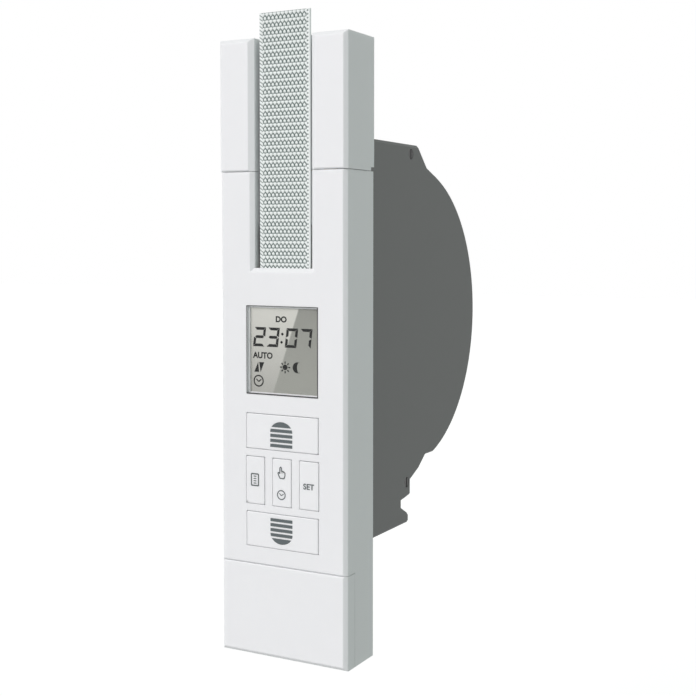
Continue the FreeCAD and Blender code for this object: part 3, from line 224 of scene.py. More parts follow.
class Finish:
    """One material, its shader and its start wire."""

    def __init__(self, name, roughness=0.5, metallic=0.0):
        self.material = bpy.data.materials.new(name)
        self.material.use_nodes = True
        self.tree = self.material.node_tree
        self.shader = self.tree.nodes["Principled BSDF"]
        self.start = Wire(self.tree)
        self.feed("Roughness", roughness)
        self.feed("Metallic", metallic)

    def feed(self, name, value):
        """Gives an input of the shader a value or a wire."""
        if isinstance(value, Wire):
            self.tree.links.new(value.socket, self.shader.inputs[name])
        else:
            self.shader.inputs[name].default_value = value

    def place(self):
        """The place on the piece, in metres."""
        return self.start.node("ShaderNodeTexCoord", output="Object")

    def noise(self, size, detail=2.0, stretch=None):
        """Even noise with features of the given size, stretched along an axis where asked."""
        place = self.place()
        if stretch:
            place = place.node("ShaderNodeMapping", None, {"Vector": place, "Scale": stretch})
        inputs = {"Vector": place, "Scale": 1.0 / size, "Detail": detail}
        return place.node("ShaderNodeTexNoise", None, inputs)

    def mix(self, factor, first, second):
        """The first colour where the factor is 0, the second where it is 1."""
        inputs = {0: factor, 6: paint(first), 7: paint(second)}
        return self.start.node("ShaderNodeMix", {"data_type": "RGBA"}, inputs, output=2)

    def between(self, value, low, high):
        """0 up to the low value, 1 from the high one."""
        inputs = {"Value": value, "From Min": low, "From Max": high}
        return self.start.node("ShaderNodeMapRange", None, inputs)

    def bump(self, height, depth):
        """Fine relief, as deep as given where the height goes from 0 to 1."""
        inputs = {"Height": height, "Distance": depth, "Strength": 1.0}
        self.feed("Normal", self.start.node("ShaderNodeBump", None, inputs))


def paint(value):
    """A colour with its alpha, or a wire as it is."""
    return value if isinstance(value, Wire) else (*value[:3], 1.0)


def shade(colour, factor):
    """A darker or lighter colour."""
    return tuple(min(1.0, part * factor) for part in colour)


def moulded_plastic(name, colour, roughness, variation=0.02, grain=1.0, glow=0.0, gloss=0.5):
    """Moulded plastic: a faint cloud in its colour and gloss, and a fine grain."""
    housing = bpy.context.scene.winder_housing
    finish = Finish(name)
    finish.feed("Specular IOR Level", gloss)
    cloud = finish.noise(9 * MM, 3.0)
    spread = 0.1
    finish.feed("Base Color", finish.mix(cloud, shade(colour, 1 - variation), shade(colour, 1 + variation)))
    finish.feed("Roughness", roughness - spread / 2 + cloud * spread)
    finish.bump(finish.noise(housing.grain_size), housing.grain_depth * grain)
    if glow:
        finish.feed("Subsurface Weight", glow)
        finish.feed("Subsurface Radius", (1.0, 1.0, 1.0))
        finish.feed("Subsurface Scale", housing.glow_reach)
    return finish.material


def machined_metal(name, colour, roughness, along=(1, 1, 1)):
    """Metal with tool marks drawn out along one axis."""
    finish = Finish(name, metallic=1.0)
    marks = finish.noise(0.9 * MM, 4.0, along)
    variation = 0.12
    spread = 0.16
    depth = 0.01 * MM
    finish.feed("Base Color", finish.mix(marks, shade(colour, 1 - variation), shade(colour, 1 + variation)))
    finish.feed("Roughness", roughness - spread / 2 + marks * spread)
    finish.bump(marks, depth)
    return finish.material


def dress(material, slot, *nodes):
    """Gives CAD nodes a material. Their shapes stay as they are."""
    for node in nodes:
        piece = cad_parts[node]
        piece.data.materials.clear()
        piece.data.materials.append(material)


def mesh_piece(name, vertices, faces, body, material):
    """A piece of the scene from points and faces, riding on a body."""
    mesh = bpy.data.meshes.new(name)
    mesh.from_pydata(vertices, [], faces)
    mesh.validate()
    return ride_piece(name, mesh, body, material)


def ride_piece(name, mesh, body, material):
    """A piece from a mesh that is ready."""
    mesh.materials.append(material)
    piece = bpy.data.objects.new(name, mesh)
    bpy.context.scene.collection.objects.link(piece)
    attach(piece, body)
    return piece


def hold_rise(piece, values):
    """Keeps the height of the weave on each vertex for the belt's material."""
    level = piece.data.attributes.new("rise", "FLOAT", "POINT")
    level.data.foreach_set("value", values.astype(np.float32))


# The housing and the body in the wall

class WINDER_OT_housing(bpy.types.Operator):
    """Finish the front, its two covers and the five buttons"""

    bl_idname = "winder.housing"
    bl_label = "Housing and buttons"

    def execute(self, context):
        white = context.scene.winder_housing.white
        front = moulded_plastic("satin_white_plastic", white, 0.5, variation=0.012, glow=0.4)
        key_white = shade(white, 1.02)
        keys = moulded_plastic("button_plastic", key_white, 0.36, variation=0.008, grain=0.6, glow=0.5)
        dress(front, "housing_white", "front_panel", "top_cover", "bottom_cover")
        buttons = [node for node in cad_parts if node.endswith("_button")]
        dress(keys, "button_white", *buttons)
        return {"FINISHED"}


class WINDER_OT_wall_body(bpy.types.Operator):
    """Finish the mounting frame and the two shells in the wall"""

    bl_idname = "winder.wall_body"
    bl_label = "Frame and wall body"

    def execute(self, context):
        housing = context.scene.winder_housing
        frame_finish = moulded_plastic("frame_plastic", housing.frame_white, 0.55, grain=1.6)
        dress(frame_finish, "frame_white", "mounting_frame")
        body = moulded_plastic("matt_grey_plastic", housing.body_grey, 0.8, variation=0.03, grain=2.0)
        dress(body, "shell_grey", "left_shell", "right_shell")
        return {"FINISHED"}


# The belt

def webbing():
    """Woven webbing, coloured by how high each thread stands over the ground."""
    belt = bpy.context.scene.winder_belt
    finish = Finish("woven_belt", 0.85)
    rise = finish.start.node("ShaderNodeAttribute", {"attribute_name": "rise"}, output="Fac")
    # The ramp turns height into painted shade: the lowest places are painted darkest.
    levels = ((0.0, 0.0), (0.25, 0.25), (0.5, 0.85), (0.8, 1.0))
    stops = [(place, (grey, grey, grey)) for place, grey in levels]
    height = rise.node("ShaderNodeValToRGB", {"stops": stops}, {"Fac": rise})
    thread = finish.mix(height, belt.weave_painted_shade, belt.yarn_white)
    fibre = finish.noise(0.22 * MM, 3.0, (1.0, 1.0, 0.35))
    fibre_depth = 0.03 * MM
    # A faint fibre noise darkens the thread at random towards a lighter copy of the painted shade colour.
    finish.feed("Base Color", finish.mix(fibre * 0.12, thread, shade(belt.weave_painted_shade, 2.0)))
    finish.bump(fibre, fibre_depth)
    return finish.material


def weave_rise(across, along, width, columns, row_pitch):
    """Height of the weave, from 0 to 1: rows of dots between posts, each row under a zigzag furrow."""
    # Measured in columns across and in rows along. A level of 0 is the foot of a row, 1 its top.
    column = across * columns / width
    level = -along / row_pitch % 1.0
    aside = np.abs(column % 1.0 - 0.5)
    zigzag_peak = 0.63
    zigzag_slope = 0.66
    post_top = 0.36
    dimple_level = 0.88
    zigzag = 0.92 * furrow(level - zigzag_peak + zigzag_slope * aside, 0.19)
    post = furrow(0.5 - aside, 0.25) * (level < post_top)
    seam = 0.8 * furrow(np.minimum(level, 1 - level), 0.12)
    dimple = 0.7 * bulge(aside / 0.30, (level - dimple_level) / 0.16)
    ground = np.maximum.reduce([zigzag, post, seam, dimple])
    # The two edges are bound: a twisted yarn on the left, small eyes on the right.
    twist = 0.8 * furrow((2 * level + 0.8 * column) % 1.0 - 0.5, 0.26)
    eyelet = 0.9 * bulge((column % 1.0 - 0.35) / 0.30, (2 * level % 1.0 - 0.5) / 0.36)
    ground = np.where(column < 1, twist, ground)
    ground = np.where(column > columns - 1, eyelet, ground)
    return 1 - ground


def furrow(distance, reach):
    """A rounded groove of depth 1 along the line where the distance is 0."""
    return np.clip(1 - (distance / reach) ** 2, 0, None) ** 0.5


def bulge(across, along):
    """A rounded bump of height 1 that ends where either measure reaches 1."""
    return np.clip(1 - across**2 - along**2, 0, None) ** 0.5


def belt_path():
    """Points and outward directions of the belt's middle, down the channel, round the roller and inward."""
    belt_low, belt_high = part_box("belt")
    roller_low, roller_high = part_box("deflection_roller")
    winding_low, winding_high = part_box("belt_winding")
    centre_y = (roller_low.y + roller_high.y) / 2
    centre_z = (roller_low.z + roller_high.z) / 2
    turn = centre_y - belt_low.y - belt_thickness() / 2
    spool_y = (winding_low.y + winding_high.y) / 2
    spool_z = (winding_low.z + winding_high.z) / 2
    # The belt's middle turns round the roller at the radius turn and meets the winding at the radius lay.
    lay = (winding_high.y - winding_low.y) / 2 + turn - (roller_high.y - roller_low.y) / 2
    across_y = spool_y - centre_y
    across_z = spool_z - centre_z
    slope = math.atan2(across_z, across_y) + math.asin((turn + lay) / math.hypot(across_y, across_z))
    step = bpy.context.scene.winder_belt.step_along
    points = []
    for z in np.linspace(belt_high.z, centre_z, round((belt_high.z - centre_z) / step) + 1):
        points.append((centre_y - turn, z, -1.0, 0.0))
    last = slope - math.pi / 2
    for angle in np.linspace(-math.pi, last, round(turn * (last + math.pi) / step) + 1)[1:]:
        out_y = math.cos(angle)
        out_z = math.sin(angle)
        points.append((centre_y + turn * out_y, centre_z + turn * out_z, out_y, out_z))
    out = (math.sin(slope), -math.cos(slope))
    start = np.array([centre_y + turn * out[0], centre_z + turn * out[1]])
    end = np.array([spool_y - lay * out[0], spool_z - lay * out[1]])
    # Nobody sees the run inside the body, so its cells are longer.
    inside_step = 4 * step
    count = round(np.linalg.norm(end - start) / inside_step)
    for part in np.linspace(0, 1, count + 1)[1:]:
        y, z = start + (end - start) * part
        points.append((y, z, *out))
    return np.array(points)


def belt_thickness():
    """Thickness of the belt's cut end."""
    corners = [vertex.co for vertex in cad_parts["belt"].data.vertices]
    top = max(corner.z for corner in corners)
    ends = [corner.y for corner in corners if corner.z > top - 0.1 * MM]
    return max(ends) - min(ends)


class WINDER_OT_belt(bpy.types.Operator):
    """Weave the belt on its way down the channel, round the roller and inward"""

    bl_idname = "winder.belt"
    bl_label = "Woven belt"

    def execute(self, context):
        belt = context.scene.winder_belt
        path = belt_path()
        belt_low, belt_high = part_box("belt")
        width = belt_high.x - belt_low.x
        half = belt_thickness() / 2
        edge_share = 0.35
        places = np.linspace(0, width, round(width / belt.step_across) + 1)
        steps = np.hypot(*np.diff(path[:, :2], axis=0).T)
        along = np.concatenate([[0], np.cumsum(steps)])
        grid_x, grid_s = np.meshgrid(places, along)
        rise = weave_rise(grid_x, grid_s, width, belt.columns, belt.row_pitch)
        round_off = np.clip(np.minimum(grid_x, width - grid_x) / belt.edge_round, 0, 1) ** 0.5
        fullness = edge_share + (1 - edge_share) * round_off
        vertices = []
        for side in (1, -1):
            depth = (half - belt.relief * (1 - rise)) * fullness * side
            y = path[:, 0:1] + path[:, 2:3] * depth
            z = path[:, 1:2] + path[:, 3:4] * depth
            vertices.append(np.stack([belt_low.x + grid_x, y, z], axis=-1).reshape(-1, 3))
        faces = strip_faces(*grid_x.shape)
        piece = mesh_piece("woven_belt", np.concatenate(vertices), faces, "root", webbing())
        hold_rise(piece, np.tile(rise.reshape(-1), 2))
        piece.data.polygons.foreach_set("use_smooth", [True] * len(piece.data.polygons))
        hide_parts("belt")
        return {"FINISHED"}


def strip_faces(rows, columns):
    """Faces of a closed strip whose front and back are two grids of the same size."""
    index = np.arange(rows * columns).reshape(rows, columns)
    front = np.stack([index[:-1, :-1], index[1:, :-1], index[1:, 1:], index[:-1, 1:]], axis=-1).reshape(-1, 4)
    back = front[:, ::-1] + rows * columns
    loop = np.concatenate([index[0, :-1], index[:-1, -1], index[-1, :0:-1], index[:0:-1, 0]])
    after = np.roll(loop, -1)
    rim = np.stack([loop, after, after + rows * columns, loop + rows * columns], axis=-1)
    return np.concatenate([front, back, rim]).tolist()


class WINDER_OT_winding(bpy.types.Operator):
    """Wind the belt on the spool as one unbroken spiral"""

    bl_idname = "winder.winding"
    bl_label = "Winding"

    def execute(self, context):
        belt = context.scene.winder_belt
        low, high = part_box("belt_winding")
        centre_y = (low.y + high.y) / 2
        centre_z = (low.z + high.z) / 2
        outer = (high.y - low.y) / 2
        inner = outer - belt.winding_turns * belt.winding_pitch
        belt_share = 0.86
        thickness = belt_share * belt.winding_pitch
        turns = (outer - thickness - inner) / belt.winding_pitch
        angle_step = math.radians(5)
        angles = np.arange(0, turns * 2 * math.pi, angle_step)
        radius = inner + belt.winding_pitch * angles / (2 * math.pi)
        places = np.linspace(low.x, high.x, belt.columns)
        vertices = []
        for reach in (thickness, 0):
            r = (radius + reach)[:, None] * np.ones_like(places)
            y = centre_y + r * np.cos(angles)[:, None]
            z = centre_z + r * np.sin(angles)[:, None]
            x = np.ones_like(r) * places
            vertices.append(np.stack([x, y, z], axis=-1).reshape(-1, 3))
        faces = strip_faces(len(angles), len(places))
        piece = mesh_piece("belt_turns", np.concatenate(vertices), faces, "spool", webbing())
        # The turns have no relief; they get one middle height, and with it one even tone of the painted weave
        # shade.
        middle_rise = 0.5
        hold_rise(piece, np.full(len(piece.data.vertices), middle_rise))
        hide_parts("belt_winding")
        return {"FINISHED"}


# Signs: flat shapes with a small thickness, in millimetres on the front face

def sign_piece(name, outlines, back_y, body, material, height):
    """Thin raised shapes, each a convex outline of (x, z) points in millimetres."""
    vertices = []
    faces = []
    for outline in outlines:
        first = len(vertices)
        count = len(outline)
        for y in (back_y - height, back_y + height):
            vertices += [(x * MM, y, z * MM) for x, z in outline]
        faces.append(list(range(first, first + count)))
        faces.append(list(range(first + 2 * count - 1, first + count - 1, -1)))
        for index in range(count):
            after = (index + 1) % count
            faces.append([first + index, first + count + index, first + count + after, first + after])
    return mesh_piece(name, vertices, faces, body, material)


def bar(x0, z0, x1, z1, thickness):
    """A straight stroke between two points."""
    length = math.hypot(x1 - x0, z1 - z0)
    nx = -(z1 - z0) / length * thickness / 2
    nz = (x1 - x0) / length * thickness / 2
    return [(x0 + nx, z0 + nz), (x1 + nx, z1 + nz), (x1 - nx, z1 - nz), (x0 - nx, z0 - nz)]


def stroke(points, thickness):
    """A line through several points."""
    return [bar(*start, *end, thickness) for start, end in zip(points, points[1:])]


def ring(x, z, radius, thickness):
    """A circle as short strokes."""
    count = 28
    angles = [2 * math.pi * index / count for index in range(count + 1)]
    return stroke([(x + radius * math.cos(a), z + radius * math.sin(a)) for a in angles], thickness)


def disc(x, z, radius, count=24):
    """A filled circle."""
    angles = [2 * math.pi * index / count for index in range(count)]
    return [(x + radius * math.cos(a), z + radius * math.sin(a)) for a in angles]


def shutter_sign(middle_x, top_z, half, stripes, flip):
    """A striped arch with a thicker cap, on its feet or upside down."""
    # Levels are measured down from the top of the arch, which is straight below its rise.
    gap_share = 0.36
    cap_share = 0.1
    height = 2 * half
    rise = 0.8 * half
    pitch = height / (stripes + cap_share)
    outlines = []
    for index in range(stripes):
        low = height - index * pitch
        cap = index == stripes - 1
        high = 0 if cap else low - pitch * (1 - gap_share)
        levels = high + (low - high) * np.linspace(0, 1, 10) ** 2
        reach = [half * math.sqrt(1 - max(0.0, 1 - level / rise) ** 2) for level in levels]
        left = [(middle_x - r, level) for r, level in zip(reach, levels)]
        right = [(middle_x + r, level) for r, level in zip(reach, levels)][::-1]
        outline = [(x, top_z - (height - level if flip else level)) for x, level in left + right]
        if cap:
            outline = outline[1:]
        outlines.append(outline if flip else outline[::-1])
    return outlines


def list_sign():
    """A sheet with four lines."""
    left, right, low, high = -14.0, -10.7, -53.6, -49.0
    edge_weight = 0.5
    line_weight = 0.38
    inset = 1.0
    lines = 4
    outlines = stroke([(left, low), (right, low), (right, high), (left, high), (left, low)], edge_weight)
    for index in range(lines):
        z = low + (high - low) * (index + 1) / (lines + 1)
        outlines.append(bar(left + inset, z, right - inset, z, line_weight))
    return outlines


def hand_sign():
    """A hand with its forefinger raised."""
    line = [
        (-0.75, -49.7), (-1.35, -48.6), (-1.75, -47.7), (-1.35, -47.35), (-0.85, -47.9), (-0.85, -45.6),
        (-0.45, -45.25), (-0.1, -45.6), (-0.1, -46.9), (0.5, -46.8), (0.55, -47.1), (1.05, -47.0),
        (1.1, -47.35), (1.45, -47.3), (1.5, -48.4), (1.05, -49.7), (-0.75, -49.7),
    ]
    weight = 0.44
    crease = 0.2
    return stroke(line, weight) + [bar(x, -46.9, x, -47.7, crease) for x in (0.0, 0.55)]


def clock_sign(x, z, radius, thickness):
    """A clock face with two hands."""
    outlines = ring(x, z, radius, thickness)
    pivot_z = z - 0.15 * radius
    for hand_x, hand_z in ((-0.5, 0.35), (0.6, 0.3)):
        outlines.append(bar(x, pivot_z, x + hand_x * radius, z + hand_z * radius, thickness * 0.8))
    return outlines


def sun_sign(x, z, radius):
    """A disc with eight rays."""
    outlines = [disc(x, z, 0.52 * radius)]
    inner = 0.68 * radius
    outer = 1.1 * radius
    rays = 8
    weight = 0.5
    for index in range(rays):
        angle = 2 * math.pi / rays * index
        start = (x + inner * math.cos(angle), z + inner * math.sin(angle))
        end = (x + outer * math.cos(angle), z + outer * math.sin(angle))
        outlines.append(bar(*start, *end, weight))
    return outlines


def moon_sign(x, z, radius):
    """A crescent that opens to the right."""
    count = 16
    angles = [math.radians(60 + 240 * index / count) for index in range(count + 1)]
    edge = [(x + radius * math.cos(a), z + radius * math.sin(a)) for a in angles]
    widths = [0.95 * radius * max(0.0, math.sin(math.pi * index / count)) for index in range(count + 1)]
    inside = [(edge_x + width, edge_z) for (edge_x, edge_z), width in zip(edge, widths)]
    return [[edge[i], edge[i + 1], inside[i + 1], inside[i]] for i in range(count)]


def seven_segments(digit, x, z, width, height, thickness, slant):
    """The lit bars of one digit, leaning to the right by the slant."""
    lit = {
        "0": "abcdef", "1": "bc", "2": "abged", "3": "abgcd", "4": "fgbc",
        "5": "afgcd", "6": "afgedc", "7": "abc", "8": "abcdefg", "9": "abfgcd",
    }[digit]
    low = z
    middle = z + height / 2
    high = z + height
    left = x
    right = x + width
    gap = 0.12
    half = thickness / 2
    in_left = left + thickness
    in_right = right - thickness
    upper_end = high - thickness - gap
    upper_foot = middle + half + gap
    lower_end = middle - half - gap
    lower_foot = low + thickness + gap
    shapes = {
        "a": [(left, high), (right, high), (in_right, high - thickness), (in_left, high - thickness)],
        "b": [(in_right, upper_end), (right, high - gap), (right, middle + gap), (in_right, upper_foot)],
        "c": [(in_right, lower_end), (right, middle - gap), (right, low + gap), (in_right, lower_foot)],
        "d": [(in_left, low + thickness), (in_right, low + thickness), (right, low), (left, low)],
        "e": [(left, middle - gap), (in_left, lower_end), (in_left, lower_foot), (left, low + gap)],
        "f": [(left, high - gap), (in_left, upper_end), (in_left, upper_foot), (left, middle + gap)],
        "g": [
            (left + half, middle), (in_left, middle + half), (in_right, middle + half),
            (right - half, middle), (in_right, middle - half), (in_left, middle - half),
        ],
    }
    lean = math.tan(slant)
    return [[(px + (pz - middle) * lean, pz) for px, pz in shapes[name]] for name in lit]


def word(name, text, x, z, size, back_y, body, material, stretch=1.0, weight=0.08):
    """A generic word in the plain built-in letters, as a thin raised mesh centred on x and z."""
    curve = bpy.data.curves.new(name, "FONT")
    curve.body = text
    curve.size = size * MM
    curve.align_x = "CENTER"
    curve.align_y = "CENTER"
    curve.extrude = bpy.context.scene.winder_display.print_height
    curve.offset = weight * MM
    letters = bpy.data.objects.new(name + "_letters", curve)
    bpy.context.scene.collection.objects.link(letters)
    bpy.context.view_layer.update()
    mesh = bpy.data.meshes.new_from_object(letters.evaluated_get(bpy.context.evaluated_depsgraph_get()))
    bpy.data.objects.remove(letters)
    for vertex in mesh.vertices:
        vertex.co = Vector((x * MM + vertex.co.x * stretch, back_y - vertex.co.z, z * MM + vertex.co.y))
    mesh.materials.clear()
    return ride_piece(name, mesh, body, material)


class WINDER_OT_signs(bpy.types.Operator):
    """Print the signs on the five buttons"""

    bl_idname = "winder.signs"
    bl_label = "Button signs"

    def execute(self, context):
        settings = context.scene.winder_display
        ink = moulded_plastic("print_ink", settings.ink, 0.6, variation=0.05)
        height = settings.print_height
        middle_x = -0.2
        arch_half = 5.0
        stripes = 5
        signs = {
            "up_button": shutter_sign(middle_x, -27.7, arch_half, stripes, False),
            "down_button": shutter_sign(middle_x, -65.7, arch_half, stripes, True),
            "menu_button": list_sign(),
            "mode_button": hand_sign() + clock_sign(middle_x, -56.2, 1.75, 0.42),
        }
        for button, outlines in signs.items():
            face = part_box(button)[0].y
            name = button.replace("button", "sign")
            sign_piece(name, outlines, face, button, ink, height)
        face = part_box("set_button")[0].y
        word("set_sign", "SET", 12.1, -51.95, 3.1, face, "set_button", ink)
        return {"FINISHED"}


# The display

def film_with_painted_reflection():
    """Grey film whose right part lies in a slanting shade."""
    settings = bpy.context.scene.winder_display
    finish = Finish("film_with_painted_reflection", 0.35)
    place = finish.place()
    across = place.node("ShaderNodeSeparateXYZ", None, {"Vector": place})
    up = across.beside("Z")
    # The edge between the painted reflection and the painted shade leans as a line between these two points
    # does, in millimetres.
    top_x, top_z = 8.2, 17.3
    foot_x, foot_z = -4.0, -17.4
    lean = (top_x - foot_x) / (top_z - foot_z)
    edge = across - (up - top_z * MM) * lean
    soft = finish.between(edge, 6.6 * MM, 7.2 * MM)
    # Painted light: the painted reflection dims towards the bottom and the painted shade lightens there.
    reflection_fall_off = finish.between(up, -18 * MM, 18 * MM)
    light = finish.mix(reflection_fall_off, shade(settings.film_painted_reflection, 0.6), settings.film_painted_reflection)
    dark = finish.mix(reflection_fall_off, shade(settings.film_painted_shade, 1.2), settings.film_painted_shade)
    finish.feed("Base Color", finish.mix(soft, light, dark))
    grain_depth = 0.002 * MM
    finish.bump(finish.noise(0.3 * MM), grain_depth)
    return finish.material


def clear_plastic():
    """A clear window that goes out by its alpha, with fine polish marks."""
    finish = Finish("clear_window", 0.06)
    finish.feed("Base Color", paint(bpy.context.scene.winder_display.window_tint))
    finish.feed("Alpha", 0.02)
    finish.feed("Specular IOR Level", 0.15)
    mark_depth = 0.001 * MM
    finish.bump(finish.noise(0.8 * MM), mark_depth)
    return finish.material


class WINDER_OT_display(bpy.types.Operator):
    """Show the time, the weekday and the signs on the display under its clear window"""

    bl_idname = "winder.display"
    bl_label = "Display"

    def execute(self, context):
        settings = context.scene.winder_display
        dress(clear_plastic(), "window_clear", "display_window")
        dress(film_with_painted_reflection(), "lcd_grey", "lcd_module")
        # Painted light: the frame is given a pale colour in place of light that the recess does not get.
        edge = moulded_plastic("display_frame_painted_light", settings.frame_painted_light, 0.5)
        dress(edge, "component_black", "lcd_frame")
        lit = moulded_plastic("lit_segments", settings.segment, 0.8, variation=0.05, gloss=0.1)
        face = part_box("lcd_module")[0].y
        height = settings.print_height
        outlines = self.time_digits(settings.digit_slant) + self.day_signs()
        sign_piece("display_signs", outlines, face, "root", lit, height)
        self.paint_window_shadow_gap(settings)
        weight = 0.12
        word("weekday_letters", "DO", -1.4, 12.0, 3.1, face, "root", lit, 1.05, weight)
        word("auto_letters", "AUTO", -9.8, -2.4, 3.3, face, "root", lit, 0.97, weight)
        return {"FINISHED"}

    def time_digits(self, slant):
        """The time in leaning digits with its two dots."""
        foot = 1.2
        width = 5.2
        height = 7.6
        weight = 1.1
        outlines = []
        for digit, x in (("2", -13.9), ("3", -7.6), ("0", 0.7), ("7", 7.1)):
            outlines += seven_segments(digit, x, foot, width, height, weight, slant)
        dots_x = -1.0
        dots_middle = 4.9
        for z in (3.2, 6.4):
            outlines.append(disc(dots_x + (z - dots_middle) * math.tan(slant), z, weight / 2, 12))
        return outlines

    def day_signs(self):
        """Two arrows, a clock, a sun and a moon."""
        up_arrow = [(-13.8, -8.9), (-11.6, -8.9), (-12.0, -5.0)]
        down_arrow = [(-11.5, -5.0), (-9.2, -5.0), (-10.9, -8.9)]
        radius = 2.1
        outlines = [up_arrow, down_arrow] + clock_sign(-11.8, -12.4, radius, 0.55)
        return outlines + sun_sign(0.4, -6.5, radius) + moon_sign(5.9, -6.4, radius)

    def paint_window_shadow_gap(self, settings):
        """The narrow dark joint between the window and the front."""
        low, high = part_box("display_window")
        x0, z0, x1, z1 = (value / MM for value in (low.x, low.z, high.x, high.z))
        wide = 0.5
        middling = 0.4
        narrow = 0.22
        outlines = [
            bar(x0, z0 + wide / 2, x1, z0 + wide / 2, wide),
            bar(x1 - middling / 2, z0, x1 - middling / 2, z1, middling),
            bar(x0 + narrow / 2, z0, x0 + narrow / 2, z1, narrow),
            bar(x0, z1 - narrow / 2, x1, z1 - narrow / 2, narrow),
        ]
        # The strips are painted shadow, not a real part.
        gap_shade = moulded_plastic("window_painted_shadow_gap", settings.joint, 0.7, variation=0.05)
        sign_piece("window_painted_shadow_gap", outlines, low.y, "root", gap_shade, settings.print_height)


# Drive, boards and fixings

def board_laminate():
    """Solder mask with the faint tracks under it."""
    finish = Finish("solder_mask", 0.32)
    place = finish.place()
    upright = place.node("ShaderNodeMapping", None, {"Vector": place, "Rotation": (math.pi / 2, 0, 0)})
    inputs = {
        "Vector": upright, "Scale": 180.0, "Mortar Size": 0.06,
        "Color1": (0, 0, 0, 1), "Color2": (0.2, 0.2, 0.2, 1), "Mortar": PLAIN_WHITE,
    }
    tracks = place.node("ShaderNodeTexBrick", {"offset": 0.35}, inputs)
    track_height = 0.02 * MM
    finish.feed("Base Color", finish.mix(tracks, (0.02, 0.17, 0.08), (0.05, 0.30, 0.15)))
    finish.bump(tracks, track_height)
    return finish.material


def banded(name, roughness, metallic, axis, scale, distortion, hollow, crest, depth):
    """A finish with even bands along one axis, darker where they lie deeper."""
    finish = Finish(name, roughness, metallic)
    place = finish.place()
    inputs = {"Vector": place, "Scale": scale, "Distortion": distortion}
    bands = place.node("ShaderNodeTexWave", {"bands_direction": axis}, inputs)
    finish.feed("Base Color", finish.mix(bands, hollow, crest))
    finish.bump(bands, depth)
    return finish.material


def iron_stack():
    """Stacked sheet iron with its layers showing."""
    hollow = (0.10, 0.10, 0.11)
    crest = (0.34, 0.34, 0.36)
    return banded("stacked_iron", 0.5, 0.8, "Y", 300.0, 0.4, hollow, crest, 0.04 * MM)


def wound_tape():
    """Yellow tape over a coil."""
    hollow = (0.62, 0.42, 0.05)
    crest = (0.82, 0.62, 0.12)
    return banded("coil_tape", 0.45, 0.0, "Z", 90.0, 1.5, hollow, crest, 0.05 * MM)


class WINDER_OT_drive(bpy.types.Operator):
    """Finish the spool, the gears, the motor and the bearings"""

    bl_idname = "winder.drive"
    bl_label = "Drive"

    def execute(self, context):
        spool = moulded_plastic("spool_plastic", (0.055, 0.055, 0.06), 0.5, variation=0.08)
        dress(spool, "spool_black", "belt_spool")
        acetal = moulded_plastic("natural_acetal", (0.80, 0.78, 0.70), 0.38, variation=0.03, grain=0.5)
        dress(acetal, "gear_natural", "drive_gear", "idler_gear", "pinion", "worm_wheel", "deflection_roller")
        turned = machined_metal("turned_steel", (0.60, 0.60, 0.62), 0.28, along=(0.2, 1, 1))
        dress(turned, "steel_bright", "spool_axle", "idler_pin", "drive_shaft", "motor_shaft")
        dress(turned, "steel_bright", "roller_pin", "roller_clip")
        zinc = machined_metal("zinc_plate", (0.66, 0.68, 0.72), 0.36)
        dress(zinc, "steel_zinc", "motor", "motor_bracket", "motor_screws", "gear_screws")
        dress(zinc, "steel_zinc", "frame_screws", "panel_screws", "board_screws", "terminal_screws")
        dress(machined_metal("blackened_steel", (0.10, 0.10, 0.10), 0.5), "steel_zinc", "shell_screws")
        dress(machined_metal("cut_brass", (0.76, 0.57, 0.25), 0.3, along=(1, 0.3, 1)), "brass_worm", "worm")
        bronze = machined_metal("sintered_bronze", (0.52, 0.35, 0.18), 0.5)
        dress(bronze, "bronze_bush", "spool_bushes", "shaft_bushes")
        dress(machined_metal("sintered_magnet", (0.17, 0.17, 0.18), 0.55), "magnet_grey", "pulse_magnet")
        return {"FINISHED"}


class WINDER_OT_electrics(bpy.types.Operator):
    """Finish the boards, their components, the transformer and the terminals"""

    bl_idname = "winder.electrics"
    bl_label = "Electrics"

    def execute(self, context):
        dress(board_laminate(), "board_green", "control_board", "power_board")
        moulded = moulded_plastic("component_plastic", (0.03, 0.03, 0.034), 0.45, variation=0.1)
        dress(moulded, "component_black", "board_components", "key_switches", "pulse_sensor")
        dress(iron_stack(), "core_iron", "transformer_core")
        dress(wound_tape(), "coil_tape", "transformer_coil")
        dress(moulded_plastic("terminal_plastic", (0.40, 0.42, 0.43), 0.5), "terminal_grey", "terminal_block")
        return {"FINISHED"}


# The stage

def seen_rays(start):
    """1 for what the camera sees itself, in mirrors and through glass, and 0 for what the light meets."""
    camera = start.node("ShaderNodeLightPath", output="Is Camera Ray")
    rays = camera + camera.beside("Is Glossy Ray") + camera.beside("Is Transmission Ray")
    return rays.maths("MINIMUM", rays, 1.0)


